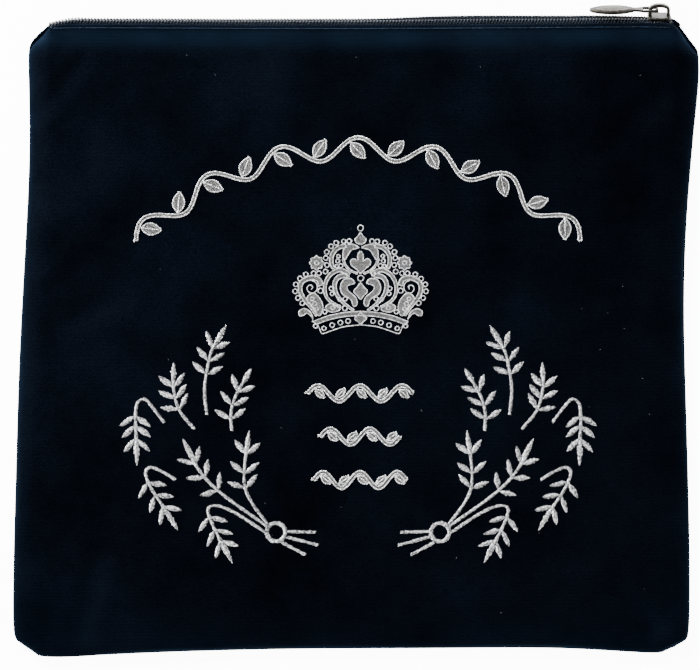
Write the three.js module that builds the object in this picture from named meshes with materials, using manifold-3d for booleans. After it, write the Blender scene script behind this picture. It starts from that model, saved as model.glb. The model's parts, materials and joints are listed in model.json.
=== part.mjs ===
// A flat velvet zip bag with silver embroidery, lying on its back.
// Millimetres. +X to the bag's right, +Y towards its zip, +Z up from the floor.
// The origin is the middle of the back panel's flat underside.
import * as THREE from 'three';
import { mergeVertices } from 'three/addons/utils/BufferGeometryUtils.js';
import Module from 'manifold-3d';

const wasm = await Module();
wasm.setup();

// Bag
const bagWidth = 321;
const bagHeight = 301;
const bagThickness = 20;
const clothWall = 1.6;
const cornerWallExtra = 0.5;
const pieceGap = 0.3;
const edgeRound = 3.5;
const seamHeight = 2.7;

// Panel edges beside the zip
const frontLipHeight = 9.8;
const frontLipInset = 4.7;
const backLipHeight = 1.7;
const backLipInset = 2.3;

// Corner cuts: run along the side and along the end
const cornerCuts = [
  { right: 0, top: 1, across: 13.6, along: 12.6 },
  { right: 1, top: 1, across: 13.1, along: 17.3 },
  { right: 0, top: 0, across: 14.5, along: 10.3 },
  { right: 1, top: 0, across: 15.9, along: 8.9 },
];

// How far each edge draws in: share of the way along it, share of the bag's width or height
const leftDrawIn = [
  { along: 0, inset: 0 },
  { along: 0.12, inset: 0 },
  { along: 0.26, inset: 0.0044 },
  { along: 0.4, inset: 0.0073 },
  { along: 0.54, inset: 0.0131 },
  { along: 0.68, inset: 0.0204 },
  { along: 0.82, inset: 0.0262 },
  { along: 0.93, inset: 0.0219 },
  { along: 1, inset: 0.02 },
];
const rightDrawIn = [
  { along: 0, inset: 0.016 },
  { along: 0.21, inset: 0.016 },
  { along: 0.31, inset: 0.019 },
  { along: 0.4, inset: 0.0219 },
  { along: 0.495, inset: 0.0248 },
  { along: 0.59, inset: 0.0262 },
  { along: 0.68, inset: 0.0219 },
  { along: 0.776, inset: 0.0146 },
  { along: 0.87, inset: 0.0044 },
  { along: 0.94, inset: 0 },
  { along: 1, inset: 0 },
];
const bottomDrawIn = [
  { along: 0, inset: 0 },
  { along: 0.06, inset: 0 },
  { along: 0.23, inset: 0.011 },
  { along: 0.41, inset: 0.0155 },
  { along: 0.62, inset: 0.0155 },
  { along: 0.8, inset: 0.0187 },
  { along: 0.88, inset: 0.011 },
  { along: 1, inset: 0.004 },
];
const topDrawIn = [
  { along: 0, inset: 0.0015 },
  { along: 0.18, inset: 0.0025 },
  { along: 0.32, inset: 0.0035 },
  { along: 0.49, inset: 0.0035 },
  { along: 0.62, inset: 0.0032 },
  { along: 0.71, inset: 0.0023 },
  { along: 1, inset: 0 },
];

// Folds of the front panel: ends from the bag's middle and reach as shares of its width and height,
// depth as a share of its thickness
const folds = [
  { x1: -0.4, y1: 0.42, x2: -0.468, y2: 0.335, reach: 0.026, depth: 0.075 },
  { x1: -0.388, y1: 0.187, x2: -0.468, y2: 0.117, reach: 0.024, depth: 0.06 },
  { x1: -0.351, y1: 0.063, x2: -0.431, y2: 0.009, reach: 0.022, depth: 0.05 },
  { x1: -0.082, y1: 0.18, x2: -0.137, y2: 0.032, reach: 0.02, depth: 0.03 },
  { x1: -0.373, y1: -0.341, x2: -0.4, y2: -0.466, reach: 0.026, depth: 0.06 },
  { x1: 0.443, y1: 0.374, x2: 0.356, y2: 0.288, reach: 0.026, depth: 0.055 },
  { x1: 0.4, y1: 0.016, x2: 0.325, y2: -0.015, reach: 0.022, depth: 0.04 },
];

// Zip
const chainWidth = 6;
const coilHeight = 2;
const coilBevel = 0.6;
const tapeThickness = 0.6;
const tapeReach = 8;
const tapeEndSlack = 0.1;
const tapeInnerRise = 0.7;
const frontTapeFold = 2.2;
const backTapeFold = 2.4;
const backTapeSlack = 0.05;
const zipStart = 0.03;
const zipEndRise = 11;
const zipEnd = 0.972;
const zipSteps = 25;
// Lean of the chain's face from upright, in degrees, along the top edge
const zipLean = [
  { along: 0, lean: 22 },
  { along: 0.5, lean: 26 },
  { along: 0.64, lean: 40 },
  { along: 0.86, lean: 35 },
  { along: 0.93, lean: 26 },
  { along: 1, lean: 26 },
];

// Slider
const sliderPlace = 0.94;
const sliderLength = 10.8;
const sliderWidth = 7.6;
const sliderPlate = 1;
const sliderPost = 1.2;
const sliderPostSetback = 0.4;
const sliderCorner = 1.6;
const bridgeLength = 10.2;
const bridgeHeight = 2.9;
const bridgeFoot = 2.9;
const bridgeBar = 1.6;
const bridgeWidth = 2.2;

// Pull. Its pin place is under the bridge, pinShift to the left of the bridge's middle.
const pinShift = 1;
const pullPlateLength = 21.4;
const pullPlateWidth = 8.4;
const pullThickness = 1.2;
const neckLength = 4.7;
const neckWidth = 3;
const neckWaistShare = 0.35;
const neckOverlap = 2;
const eyeArm = 1.2;
const swingClearance = 0.4;

// Embroidery
const threadHeight = 0.8;
const threadLift = 0.5;
const stemWidth = 1.6;
const leafLength = 7.2;
const leafWidth = 2.5;
const motifAxis = 1;
const crownWidth = 63;
const crownHeight = 51.5;
const crownMiddle = 0.004;
const crownFoot = 0.0025;

// Wheat ears: points from the motifs' middle line outwards and up, as shares of the bag.
// Leaf pairs leave each stem between the shares low and high of its length.
const wheatEars = [
  {
    x0: 0.219, y0: -0.122, x1: 0.222, y1: -0.082,
    x2: 0.2165, y2: -0.0405, x3: 0.191, y3: 0.015,
    low: 0.42, high: 0.72,
  },
  {
    x0: 0.237, y0: -0.1445, x1: 0.2595, y1: -0.1146,
    x2: 0.2676, y2: -0.08, x3: 0.267, y3: -0.042,
    low: 0.34, high: 0.66,
  },
  {
    x0: 0.2816, y0: -0.134, x1: 0.3093, y1: -0.0987,
    x2: 0.3227, y2: -0.1246, x3: 0.3206, y3: -0.2003,
    low: 0.51, high: 0.74,
  },
  {
    x0: 0.2654, y0: -0.2226, x1: 0.3012, y1: -0.204,
    x2: 0.299, y2: -0.2385, x3: 0.2617, y3: -0.3007,
    low: 0.46, high: 0.73,
  },
  {
    x0: 0.1832, y0: -0.1465, x1: 0.1838, y1: -0.1196,
    x2: 0.177, y2: -0.0924, x3: 0.1548, y3: -0.0515,
    low: 0.22, high: 0.6,
  },
];
// Tied ears start at the ring
const tiedEars = [
  { x1: 0.199, y1: -0.2435, x2: 0.2315, y2: -0.2063, x3: 0.2536, y3: -0.1598, low: 0.48, high: 0.77 },
  { x1: 0.1526, y1: -0.2611, x2: 0.1642, y2: -0.216, x3: 0.1576, y3: -0.1475, low: 0.42, high: 0.76 },
  { x1: 0.19, y1: -0.2674, x2: 0.2106, y2: -0.2934, x3: 0.1829, y3: -0.3515, low: 0.6, high: 0.8 },
];
const stalkEnds = [
  { x: 0.062, y: -0.3043 },
  { x: 0.0583, y: -0.3243 },
  { x: 0.077, y: -0.3392 },
];
const ringPlace = { x: 0.119, y: -0.3043 };
const ringRadius = 5.2;
const ringBand = 1.8;
const leafPairs = 3;
const leafSplay = THREE.MathUtils.degToRad(52);
const tipLeafStart = 0.76;
const stemSteps = 6;

// Crown outline: right half from the foot to the finial, shares of half its width and its height
const crownOutline = [
  { out: 0, up: 0.079 },
  { out: 0.3, up: 0.05 },
  { out: 0.53, up: 0 },
  { out: 0.685, up: 0.109 },
  { out: 0.65, up: 0.2 },
  { out: 0.86, up: 0.24 },
  { out: 0.99, up: 0.36 },
  { out: 0.95, up: 0.475 },
  { out: 0.82, up: 0.535 },
  { out: 0.62, up: 0.55 },
  { out: 0.5, up: 0.6 },
  { out: 0.53, up: 0.7 },
  { out: 0.47, up: 0.78 },
  { out: 0.3, up: 0.84 },
  { out: 0.13, up: 0.83 },
  { out: 0.09, up: 0.86 },
  { out: 0.03, up: 0.915 },
  { out: 0.055, up: 0.955 },
  { out: 0, up: 1 },
];
const crownWindows = [
  { out: 0, up: 0.4, halfOut: 0.07, halfUp: 0.055 },
  { out: 0.33, up: 0.71, halfOut: 0.1, halfUp: 0.07 },
  { out: 0.73, up: 0.415, halfOut: 0.1, halfUp: 0.06 },
  { out: 0.5, up: 0.24, halfOut: 0.1, halfUp: 0.04 },
];

// Leafy borders
const archRadius = 146;
const archHeight = 0.2887;
const archHalfAngle = 45;
const archWaves = 13;
const archSwing = 5;
const archLeaf = 11;
const archLeafWidth = 5.4;
const rows = [
  { x: 0.006, y: -0.0895, length: 0.152, waves: 5 },
  { x: 0.006, y: -0.1563, length: 0.115, waves: 4 },
  { x: 0.006, y: -0.2232, length: 0.134, waves: 5 },
];
const rowSwing = 3.6;
const rowLeaf = 6.4;
const rowLeafWidth = 3;
const vineLeafTurn = THREE.MathUtils.degToRad(80);
const vineLeafPlace = 0.28;
const stemStepsPerWave = 4;

// Finishes
const finish = (color, roughness, metalness) =>
  () => new THREE.MeshStandardMaterial({ color, roughness, metalness });
const velvet = finish(0x080c14, 0.95, 0);
const tapeCloth = finish(0x0c1322, 0.85, 0);
const coilNylon = finish(0x0a0d14, 0.4, 0);
const nickel = finish(0xa9a59c, 0.3, 1);
const silverThread = finish(0xb9bbbd, 0.45, 0.3);

const bag = new THREE.Group();

function addPiece(name, geometry, material) {
  const mesh = new THREE.Mesh(geometry, material());
  mesh.name = name;
  bag.add(mesh);
}

const clamp01 = (value) => Math.min(1, Math.max(0, value));
const smooth = (value) => clamp01(value) ** 2 * (3 - 2 * clamp01(value));

function lookUp(table, along, column) {
  const last = table.length - 1;
  const next = table.findIndex((row) => row.along >= along);
  if (next <= 0) {
    return next === 0 ? table[0][column] : table[last][column];
  }
  const before = table[next - 1];
  const after = table[next];
  const share = (along - before.along) / (after.along - before.along);
  return before[column] + (after[column] - before[column]) * smooth(share);
}

// Panel shape
// A place on a panel is a share across (0 left, 1 right) and a share up (0 bottom, 1 zip edge).
function panelPoint(across, up, lipInset) {
  const left = -bagWidth / 2 + bagWidth * lookUp(leftDrawIn, up, 'inset');
  const right = bagWidth / 2 - bagWidth * lookUp(rightDrawIn, up, 'inset');
  const bottom = -bagHeight / 2 + bagHeight * lookUp(bottomDrawIn, across, 'inset');
  const top = bagHeight / 2 - bagHeight * lookUp(topDrawIn, across, 'inset') - lipInset;
  const point = { x: left + (right - left) * across, y: bottom + (top - bottom) * up };
  for (const cut of cornerCuts) {
    const sideShare = clamp01((cut.right ? 1 - across : across) * bagWidth / cut.across);
    const endShare = clamp01((cut.top ? 1 - up : up) * bagHeight / cut.along);
    const shift = 0.5 * (1 - Math.max(sideShare, endShare));
    point.x += (cut.right ? -1 : 1) * shift * cut.across;
    point.y += (cut.top ? -1 : 1) * shift * cut.along;
  }
  return point;
}

// The share across and up of a point inside the front panel
function panelPlace(x, y) {
  let across = x / bagWidth + 0.5;
  let up = y / bagHeight + 0.5;
  for (let pass = 0; pass < 6; pass++) {
    const point = panelPoint(across, up, frontLipInset);
    across += (x - point.x) / bagWidth;
    up += (y - point.y) / bagHeight;
  }
  return { across, up };
}

function roundOver(distance) {
  const share = clamp01(distance / edgeRound);
  return Math.sqrt(1 - (1 - share) ** 2);
}

function edgeRise(across, up) {
  const sides = roundOver(across * bagWidth) * roundOver((1 - across) * bagWidth);
  return sides * roundOver(up * bagHeight) * roundOver((1 - up) * bagHeight);
}

// 1 beside the zip and 0 along the seams: the edges close up just past each end of the zip
function zipShare(across, up) {
  const fromSide = Math.min(across, 1 - across) * bagWidth;
  return smooth(fromSide / zipEndRise) * up;
}

function foldDepth(point) {
  let depth = 0;
  for (const fold of folds) {
    const startX = fold.x1 * bagWidth;
    const startY = fold.y1 * bagHeight;
    const alongX = fold.x2 * bagWidth - startX;
    const alongY = fold.y2 * bagHeight - startY;
    const lengthSquared = alongX ** 2 + alongY ** 2;
    const share = ((point.x - startX) * alongX + (point.y - startY) * alongY) / lengthSquared;
    const nearX = startX + clamp01(share) * alongX;
    const nearY = startY + clamp01(share) * alongY;
    const distance = Math.hypot(point.x - nearX, point.y - nearY) / (fold.reach * bagWidth);
    depth += fold.depth * bagThickness * Math.exp(-(distance ** 2));
  }
  return depth;
}

const seamTop = seamHeight + pieceGap;
const crownRise = bagThickness - edgeRound - (seamTop + frontLipHeight) / 2;

function frontHeight(across, up, point) {
  const base = seamTop + (frontLipHeight - seamTop) * zipShare(across, up);
  const swell = (1 - Math.abs(2 * across - 1) ** 2.6) * (1 - Math.abs(2 * up - 1) ** 2.6);
  const rise = edgeRise(across, up);
  return base + rise * (edgeRound - foldDepth(point)) + crownRise * swell;
}

function backHeight(across, up) {
  const edge = seamHeight + (backLipHeight - seamHeight) * zipShare(across, up);
  return edge * (1 - edgeRise(across, up));
}

function frontPoint(across, up) {
  const point = panelPoint(across, up, frontLipInset);
  return new THREE.Vector3(point.x, point.y, frontHeight(across, up, point));
}

function backPoint(across, up) {
  const point = panelPoint(across, up, backLipInset);
  return new THREE.Vector3(point.x, point.y, backHeight(across, up));
}

// Height of the velvet under a point of the embroidery
function velvetHeight(x, y) {
  const place = panelPlace(x, y);
  return frontHeight(place.across, place.up, { x, y });
}

// Grid lines stand close together at the rounded edges and evenly between the corner cuts
function gridLines(length, nearCut, farCut, middleSteps) {
  const edgeLines = (cut) => [0, edgeRound * 0.3, edgeRound, (edgeRound + cut) / 2];
  const middleRun = length - nearCut - farCut;
  const middle = Array.from({ length: middleSteps + 1 }, (_, step) =>
    nearCut + middleRun * step / middleSteps);
  const far = edgeLines(farCut).map((distance) => length - distance).reverse();
  return [...edgeLines(nearCut), ...middle, ...far].map((distance) => distance / length);
}

function closedBody(positions, faces) {
  const geometry = new THREE.BufferGeometry();
  geometry.setAttribute('position', new THREE.Float32BufferAttribute(positions, 3));
  geometry.setIndex(faces);
  return geometry;
}

// The inner side of a cloth wall: the rim moves in by a wall, the middle goes through by one,
// and between them the wall turns with the rounded edge. At the corners it moves in further.
function innerPoint(across, up, pointAt, facing) {
  const nearEdge = (share, length) => 1 - clamp01(share * length / edgeRound);
  const fromSides = nearEdge(across, bagWidth) - nearEdge(1 - across, bagWidth);
  const fromEnds = nearEdge(up, bagHeight) - nearEdge(1 - up, bagHeight);
  const reach = clothWall + cornerWallExtra * Math.abs(fromSides * fromEnds);
  const moved = pointAt(across + reach * fromSides / bagWidth, up + reach * fromEnds / bagHeight);
  moved.z = pointAt(across, up).z - facing * clothWall * edgeRise(across, up);
  return moved;
}

// A cloth wall: an outer grid, an inner grid one wall inside it, and a rim that joins them.
// facing is 1 where the outer face looks up and -1 where it looks down.
function clothShell(acrossLines, upLines, pointAt, facing) {
  const columns = acrossLines.length;
  const rowsUp = upLines.length;
  const outer = upLines.map((up) => acrossLines.map((across) => pointAt(across, up)));
  const inner = upLines.map((up) => acrossLines.map((across) =>
    innerPoint(across, up, pointAt, facing)));
  const positions = [...outer.flat(), ...inner.flat()].flatMap((point) => point.toArray());
  const faces = [];
  const quad = (a, b, c, d) => faces.push(...(facing > 0 ? [a, b, c, a, c, d] : [a, c, b, a, d, c]));
  const innerStart = columns * rowsUp;
  for (let row = 0; row + 1 < rowsUp; row++) {
    for (let column = 0; column + 1 < columns; column++) {
      const corner = row * columns + column;
      quad(corner, corner + 1, corner + columns + 1, corner + columns);
      const under = innerStart + corner;
      quad(under, under + columns, under + columns + 1, under + 1);
    }
  }
  const rim = [];
  for (let column = 0; column + 1 < columns; column++) {
    rim.push(column);
  }
  for (let row = 0; row + 1 < rowsUp; row++) {
    rim.push(row * columns + columns - 1);
  }
  for (let column = columns - 1; column > 0; column--) {
    rim.push((rowsUp - 1) * columns + column);
  }
  for (let row = rowsUp - 1; row > 0; row--) {
    rim.push(row * columns);
  }
  rim.forEach((start, index) => {
    const next = rim[(index + 1) % rim.length];
    quad(start, innerStart + start, innerStart + next, next);
  });
  return closedBody(positions, faces);
}

const [topLeftCut, topRightCut, bottomLeftCut, bottomRightCut] = cornerCuts;
const leftCut = Math.max(topLeftCut.across, bottomLeftCut.across);
const rightCut = Math.max(topRightCut.across, bottomRightCut.across);
const bottomCut = Math.max(bottomLeftCut.along, bottomRightCut.along);
const topCut = Math.max(topLeftCut.along, topRightCut.along);

function panel(pointAt, facing, acrossSteps, upSteps) {
  const acrossLines = gridLines(bagWidth, leftCut, rightCut, acrossSteps);
  const upLines = gridLines(bagHeight, bottomCut, topCut, upSteps);
  return clothShell(acrossLines, upLines, pointAt, facing);
}

addPiece('front_panel', panel(frontPoint, 1, 15, 14), velvet);
addPiece('back_panel', panel(backPoint, -1, 7, 7), velvet);

// Zip
// The chain hangs from the front panel's edge. Its frame at a share along the top edge has
// face (out of the chain), wide (from the back row to the front row) and run (along it).
const chainDrop = 0.9;
const chainStandoff = 0.5;

function zipFrame(along) {
  const step = 0.004;
  const edge = frontPoint(along, 1);
  const run = frontPoint(along + step, 1).sub(frontPoint(along - step, 1)).normalize();
  const outward = new THREE.Vector3(-run.y, run.x, 0).normalize();
  const lean = THREE.MathUtils.degToRad(lookUp(zipLean, along, 'lean'));
  const up = new THREE.Vector3(0, 0, 1);
  const face = outward.clone().multiplyScalar(Math.cos(lean)).addScaledVector(up, Math.sin(lean));
  const wide = outward.clone().multiplyScalar(-Math.sin(lean)).addScaledVector(up, Math.cos(lean));
  const front = edge.clone().addScaledVector(outward, chainStandoff).addScaledVector(up, -chainDrop);
  const middle = front.clone().addScaledVector(wide, -chainWidth / 2);
  return { edge, run, outward, up, face, wide, front, middle };
}

// A solid through sections that hold the same even number of points in order round them
function loft(sections) {
  const count = sections[0].length;
  const last = (sections.length - 1) * count;
  const faces = [];
  const quad = (a, b, c, d) => faces.push(a, b, c, a, c, d);
  for (let section = 0; section < last; section += count) {
    for (let corner = 0; corner < count; corner++) {
      const next = (corner + 1) % count;
      quad(section + corner, section + count + corner, section + count + next, section + next);
    }
  }
  for (let corner = 0; corner < count / 2 - 1; corner++) {
    const opposite = count - 1 - corner;
    quad(corner, corner + 1, opposite - 1, opposite);
    quad(last + corner, last + opposite, last + opposite - 1, last + corner + 1);
  }
  return closedBody(sections.flat().flatMap((point) => point.toArray()), faces);
}

const sliderReach = sliderLength / 2 / bagWidth;
const sliderStart = sliderPlace - sliderReach;
const zipStations = Array.from({ length: zipSteps + 1 }, (_, step) =>
  zipStart + (sliderStart - zipStart) * step / zipSteps);
zipStations.push(sliderPlace - sliderReach / 2, sliderPlace, sliderPlace + sliderReach);
zipStations.push((sliderPlace + sliderReach + zipEnd) / 2, zipEnd);

// From the slider's middle on, the two rows stand apart for its post
const rowWidth = (chainWidth - pieceGap) / 2;
const rowSpread = (along) =>
  (sliderPost / 2 + pieceGap / 2) * clamp01((along - sliderStart) / sliderReach);

function coilRow(side) {
  const half = coilHeight / 2;
  return loft(zipStations.map((along) => {
    const frame = zipFrame(along);
    const spread = pieceGap / 2 + rowSpread(along);
    const width = rowWidth - rowSpread(along);
    const corners = [
      [spread, 0],
      [spread + coilBevel, half],
      [spread + width - coilBevel, half],
      [spread + width, 0],
      [spread + width - coilBevel, -half],
      [spread + coilBevel, -half],
    ];
    const ordered = side > 0 ? corners.reverse() : corners;
    return ordered.map(([wide, face]) => frame.middle.clone()
      .addScaledVector(frame.wide, side * wide)
      .addScaledVector(frame.face, face));
  }));
}

addPiece('zip_coil_front', coilRow(1), coilNylon);
addPiece('zip_coil_back', coilRow(-1), coilNylon);

// A tape's section follows points given as outward and up from a panel's edge
function tapeSection(frame, base, places) {
  const half = tapeThickness / 2;
  const centre = places.map(([outward, up]) => ({ outward, up }));
  const offsets = centre.map((place, index) => {
    const before = centre[Math.max(0, index - 1)];
    const after = centre[Math.min(centre.length - 1, index + 1)];
    const outwardRun = after.outward - before.outward;
    const upRun = after.up - before.up;
    const run = Math.hypot(outwardRun, upRun);
    return { outward: upRun / run * half, up: -outwardRun / run * half };
  });
  const at = (outward, up) => base.clone()
    .addScaledVector(frame.outward, outward)
    .addScaledVector(frame.up, up);
  const upper = centre.map((place, index) =>
    at(place.outward + offsets[index].outward, place.up + offsets[index].up));
  const lower = centre.map((place, index) =>
    at(place.outward - offsets[index].outward, place.up - offsets[index].up));
  return [...lower, ...upper.reverse()];
}

const tapeUnderEdge = tapeThickness / 2 + 2 * pieceGap;

function frontTape() {
  return loft(zipStations.map((along) => {
    const frame = zipFrame(along);
    return tapeSection(frame, frame.edge, [
      [chainStandoff - tapeEndSlack, pieceGap - chainDrop],
      [-clothWall, -tapeUnderEdge],
      [-clothWall * frontTapeFold, -tapeEndSlack],
      [-tapeReach, tapeInnerRise],
    ]);
  }));
}

function backTape() {
  const seat = pieceGap + tapeThickness / 2;
  return loft(zipStations.map((along) => {
    const frame = zipFrame(along);
    const rear = frame.front.clone().addScaledVector(frame.wide, -chainWidth - seat - pieceGap);
    const floor = frame.edge.clone().setZ(0);
    const rearOut = rear.clone().sub(frame.edge).dot(frame.outward);
    const lipOut = frontLipInset - backLipInset;
    return tapeSection(frame, floor, [
      [rearOut, rear.z],
      [lipOut - clothWall / 2, backHeight(along, 1) + seat + backTapeSlack],
      [lipOut - backTapeFold * clothWall, clothWall + seat + tapeEndSlack],
      [-tapeReach, clothWall + seat + tapeEndSlack],
    ]);
  }));
}

addPiece('zip_tape_front', frontTape(), tapeCloth);
addPiece('zip_tape_back', backTape(), tapeCloth);

// Solid joins
function toSolid(geometry) {
  const bare = geometry.clone();
  bare.deleteAttribute('normal');
  bare.deleteAttribute('uv');
  const merged = mergeVertices(bare, 1e-5);
  const mesh = new wasm.Mesh({
    numProp: 3,
    vertProperties: new Float32Array(merged.attributes.position.array),
    triVerts: new Uint32Array(merged.index.array),
  });
  return new wasm.Manifold(mesh);
}

function join(geometries) {
  const solid = geometries.map(toSolid).reduce((whole, next) => whole.add(next));
  const mesh = solid.getMesh();
  return closedBody(mesh.vertProperties, Array.from(mesh.triVerts));
}

function cutAway(geometry, tools) {
  const solid = tools.map(toSolid).reduce((whole, tool) => whole.subtract(tool), toSolid(geometry));
  const mesh = solid.getMesh();
  return closedBody(mesh.vertProperties, Array.from(mesh.triVerts));
}

const plate = (shape, depth, curveSegments = 6) =>
  new THREE.ExtrudeGeometry(shape, { depth, bevelEnabled: false, curveSegments });

function roundedRectangle(length, width, corner) {
  const shape = new THREE.Shape();
  const x = length / 2;
  const y = width / 2;
  shape.moveTo(-x + corner, -y);
  shape.lineTo(x - corner, -y);
  shape.quadraticCurveTo(x, -y, x, -y + corner);
  shape.lineTo(x, y - corner);
  shape.quadraticCurveTo(x, y, x - corner, y);
  shape.lineTo(-x + corner, y);
  shape.quadraticCurveTo(-x, y, -x, y - corner);
  shape.lineTo(-x, -y + corner);
  shape.quadraticCurveTo(-x, -y, -x + corner, -y);
  return shape;
}

// Slider, modelled with x along the chain to the left, y towards the front row, z out of its face
const plateClearance = coilHeight / 2 + pieceGap;
const pinHeight = plateClearance + sliderPlate + bridgeFoot;

function bridgeArch() {
  const shape = new THREE.Shape();
  const foot = -bridgeFoot - sliderPlate / 2;
  const reach = bridgeLength / 2;
  shape.moveTo(-reach, foot);
  shape.lineTo(-reach, 0);
  shape.absellipse(0, 0, reach, bridgeHeight, Math.PI, 0, true);
  shape.lineTo(reach, foot);
  shape.lineTo(reach - bridgeBar, foot);
  shape.lineTo(reach - bridgeBar, 0);
  shape.absellipse(0, 0, reach - bridgeBar, bridgeHeight - bridgeBar, 0, Math.PI, false);
  shape.lineTo(-reach + bridgeBar, foot);
  shape.closePath();
  const arch = plate(shape, bridgeWidth, 7);
  arch.translate(0, 0, -bridgeWidth / 2);
  arch.rotateX(Math.PI / 2);
  arch.translate(0, 0, pinHeight);
  return arch;
}

function sliderSolid() {
  const top = plate(roundedRectangle(sliderLength, sliderWidth, sliderCorner), sliderPlate, 3);
  top.translate(0, 0, plateClearance);
  const backWidth = chainWidth - pieceGap;
  const under = plate(roundedRectangle(sliderLength, backWidth, sliderCorner), sliderPlate, 3);
  under.translate(0, 0, -plateClearance - sliderPlate);
  const postLength = sliderLength / 4;
  const post = new THREE.BoxGeometry(postLength, sliderPost, 2 * plateClearance + sliderPlate);
  post.translate(postLength / 2 + sliderPostSetback - sliderLength / 2, 0, 0);
  return join([top, under, post, bridgeArch()]);
}

// Pull, modelled lying to the left of its pin, with the same axes as the slider
function pullSolid() {
  const holeHalf = bridgeWidth / 2 + swingClearance;
  const holeEnd = bridgeLength / 2 + pinShift + swingClearance;
  const eyeHalf = holeHalf + eyeArm;
  const neckEnd = holeEnd + neckLength;
  const neckWaist = holeEnd + neckLength * neckWaistShare;
  const bladeMiddle = neckEnd + pullPlateLength / 2 - neckOverlap / 2;
  const outline = new THREE.Shape();
  outline.moveTo(-eyeArm / 2, eyeHalf);
  outline.lineTo(-eyeArm / 2, -eyeHalf);
  outline.lineTo(holeEnd, -eyeHalf);
  outline.quadraticCurveTo(neckWaist, -neckWidth / 2, neckEnd, -neckWidth / 2);
  outline.lineTo(neckEnd + neckOverlap, -neckWidth / 2);
  outline.lineTo(neckEnd + neckOverlap, neckWidth / 2);
  outline.lineTo(neckEnd, neckWidth / 2);
  outline.quadraticCurveTo(neckWaist, neckWidth / 2, holeEnd, eyeHalf);
  outline.closePath();
  const frame = plate(outline, pullThickness, 4);
  frame.translate(0, 0, -pullThickness / 2);
  const hole = new THREE.BoxGeometry(holeEnd - eyeArm / 2, 2 * holeHalf, 2 * pullThickness);
  hole.translate((holeEnd + eyeArm / 2) / 2, 0, 0);
  const oval = new THREE.Shape();
  oval.absellipse(bladeMiddle, 0, pullPlateLength / 2, pullPlateWidth / 2, 0, 2 * Math.PI, false);
  const blade = plate(oval, pullThickness, 24);
  blade.translate(0, 0, -pullThickness / 2);
  return join([cutAway(frame, [hole]), blade]);
}

const sliderFrame = zipFrame(sliderPlace);

function onChain(geometry) {
  const left = sliderFrame.run.clone().negate();
  const axes = new THREE.Matrix4().makeBasis(left, sliderFrame.wide, sliderFrame.face);
  geometry.applyMatrix4(axes.setPosition(sliderFrame.middle));
  return geometry;
}

addPiece('zip_slider', onChain(sliderSolid()), nickel);
const pull = pullSolid();
pull.translate(pinShift, 0, pinHeight);
addPiece('zip_pull', onChain(pull), nickel);

// Embroidery
// Each motif is cut as a flat plate and laid on the velvet.
function layOnVelvet(geometry) {
  const laid = geometry.clone();
  const position = laid.attributes.position;
  for (let index = 0; index < position.count; index++) {
    const x = position.getX(index);
    const y = position.getY(index);
    position.setZ(index, position.getZ(index) + velvetHeight(x, y) + threadLift);
  }
  return laid;
}

const flat = (x, y) => new THREE.Vector3(x, y, 0);

function ribbon(curve, steps, width) {
  const points = curve.getPoints(steps);
  const sideOf = (index) => {
    const tangent = curve.getTangent(index / steps);
    return new THREE.Vector2(-tangent.y, tangent.x).multiplyScalar(width / 2);
  };
  const leftSide = points.map((point, index) => sideOf(index).add(point));
  const rightSide = points.map((point, index) => sideOf(index).negate().add(point));
  return plate(new THREE.Shape([...rightSide, ...leftSide.reverse()]), threadHeight);
}

function leaf(root, tip, width) {
  const along = tip.clone().sub(root);
  const side = flat(-along.y, along.x).normalize().multiplyScalar(width);
  const middle = root.clone().lerp(tip, 0.5);
  const shape = new THREE.Shape();
  shape.moveTo(root.x, root.y);
  shape.quadraticCurveTo(middle.x - side.x, middle.y - side.y, tip.x, tip.y);
  shape.quadraticCurveTo(middle.x + side.x, middle.y + side.y, root.x, root.y);
  return plate(shape, threadHeight, 2);
}

// A leaf that grows from a stem: turn is the angle from the stem's run
function leafFrom(curve, share, turn, length, width) {
  const tangent = curve.getTangent(share);
  const rootAlong = curve.getPoint(share).addScaledVector(tangent, -width / 4);
  const direction = tangent.applyAxisAngle(new THREE.Vector3(0, 0, 1), turn);
  return leaf(rootAlong, rootAlong.clone().addScaledVector(direction, length), width);
}

function wheatEar(points, low, high) {
  const curve = new THREE.CatmullRomCurve3(points);
  const bare = new THREE.CatmullRomCurve3(curve.getPoints(stemSteps).slice(0, -1));
  const parts = [ribbon(bare, stemSteps, stemWidth)];
  for (let pair = 0; pair < leafPairs; pair++) {
    const share = low + (high - low) * pair / (leafPairs - 1);
    parts.push(leafFrom(curve, share, leafSplay, leafLength, leafWidth));
    parts.push(leafFrom(curve, share, -leafSplay, leafLength, leafWidth));
  }
  parts.push(leaf(curve.getPoint(tipLeafStart), curve.getPoint(1), leafWidth));
  return parts;
}

const spot = (side, x, y) => flat(motifAxis + side * x * bagWidth, y * bagHeight);

function ring(centre) {
  const outline = new THREE.Shape();
  outline.absarc(centre.x, centre.y, ringRadius, 0, 2 * Math.PI, false);
  const hole = new THREE.Path();
  hole.absarc(centre.x, centre.y, ringRadius - ringBand, 0, 2 * Math.PI, true);
  outline.holes.push(hole);
  return plate(outline, threadHeight, 12);
}

function wheatBunch(side) {
  const centre = spot(side, ringPlace.x, ringPlace.y);
  const fromRing = (target) => centre.clone()
    .addScaledVector(target.clone().sub(centre).normalize(), ringRadius - ringBand / 2);
  const parts = [ring(centre)];
  for (const ear of tiedEars) {
    const bend = spot(side, ear.x1, ear.y1);
    parts.push(...wheatEar([
      fromRing(bend),
      bend,
      spot(side, ear.x2, ear.y2),
      spot(side, ear.x3, ear.y3),
    ], ear.low, ear.high));
  }
  for (const end of stalkEnds) {
    const tip = spot(side, end.x, end.y);
    parts.push(ribbon(new THREE.LineCurve3(fromRing(tip), tip), 2, stemWidth));
  }
  return join(parts);
}

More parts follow.
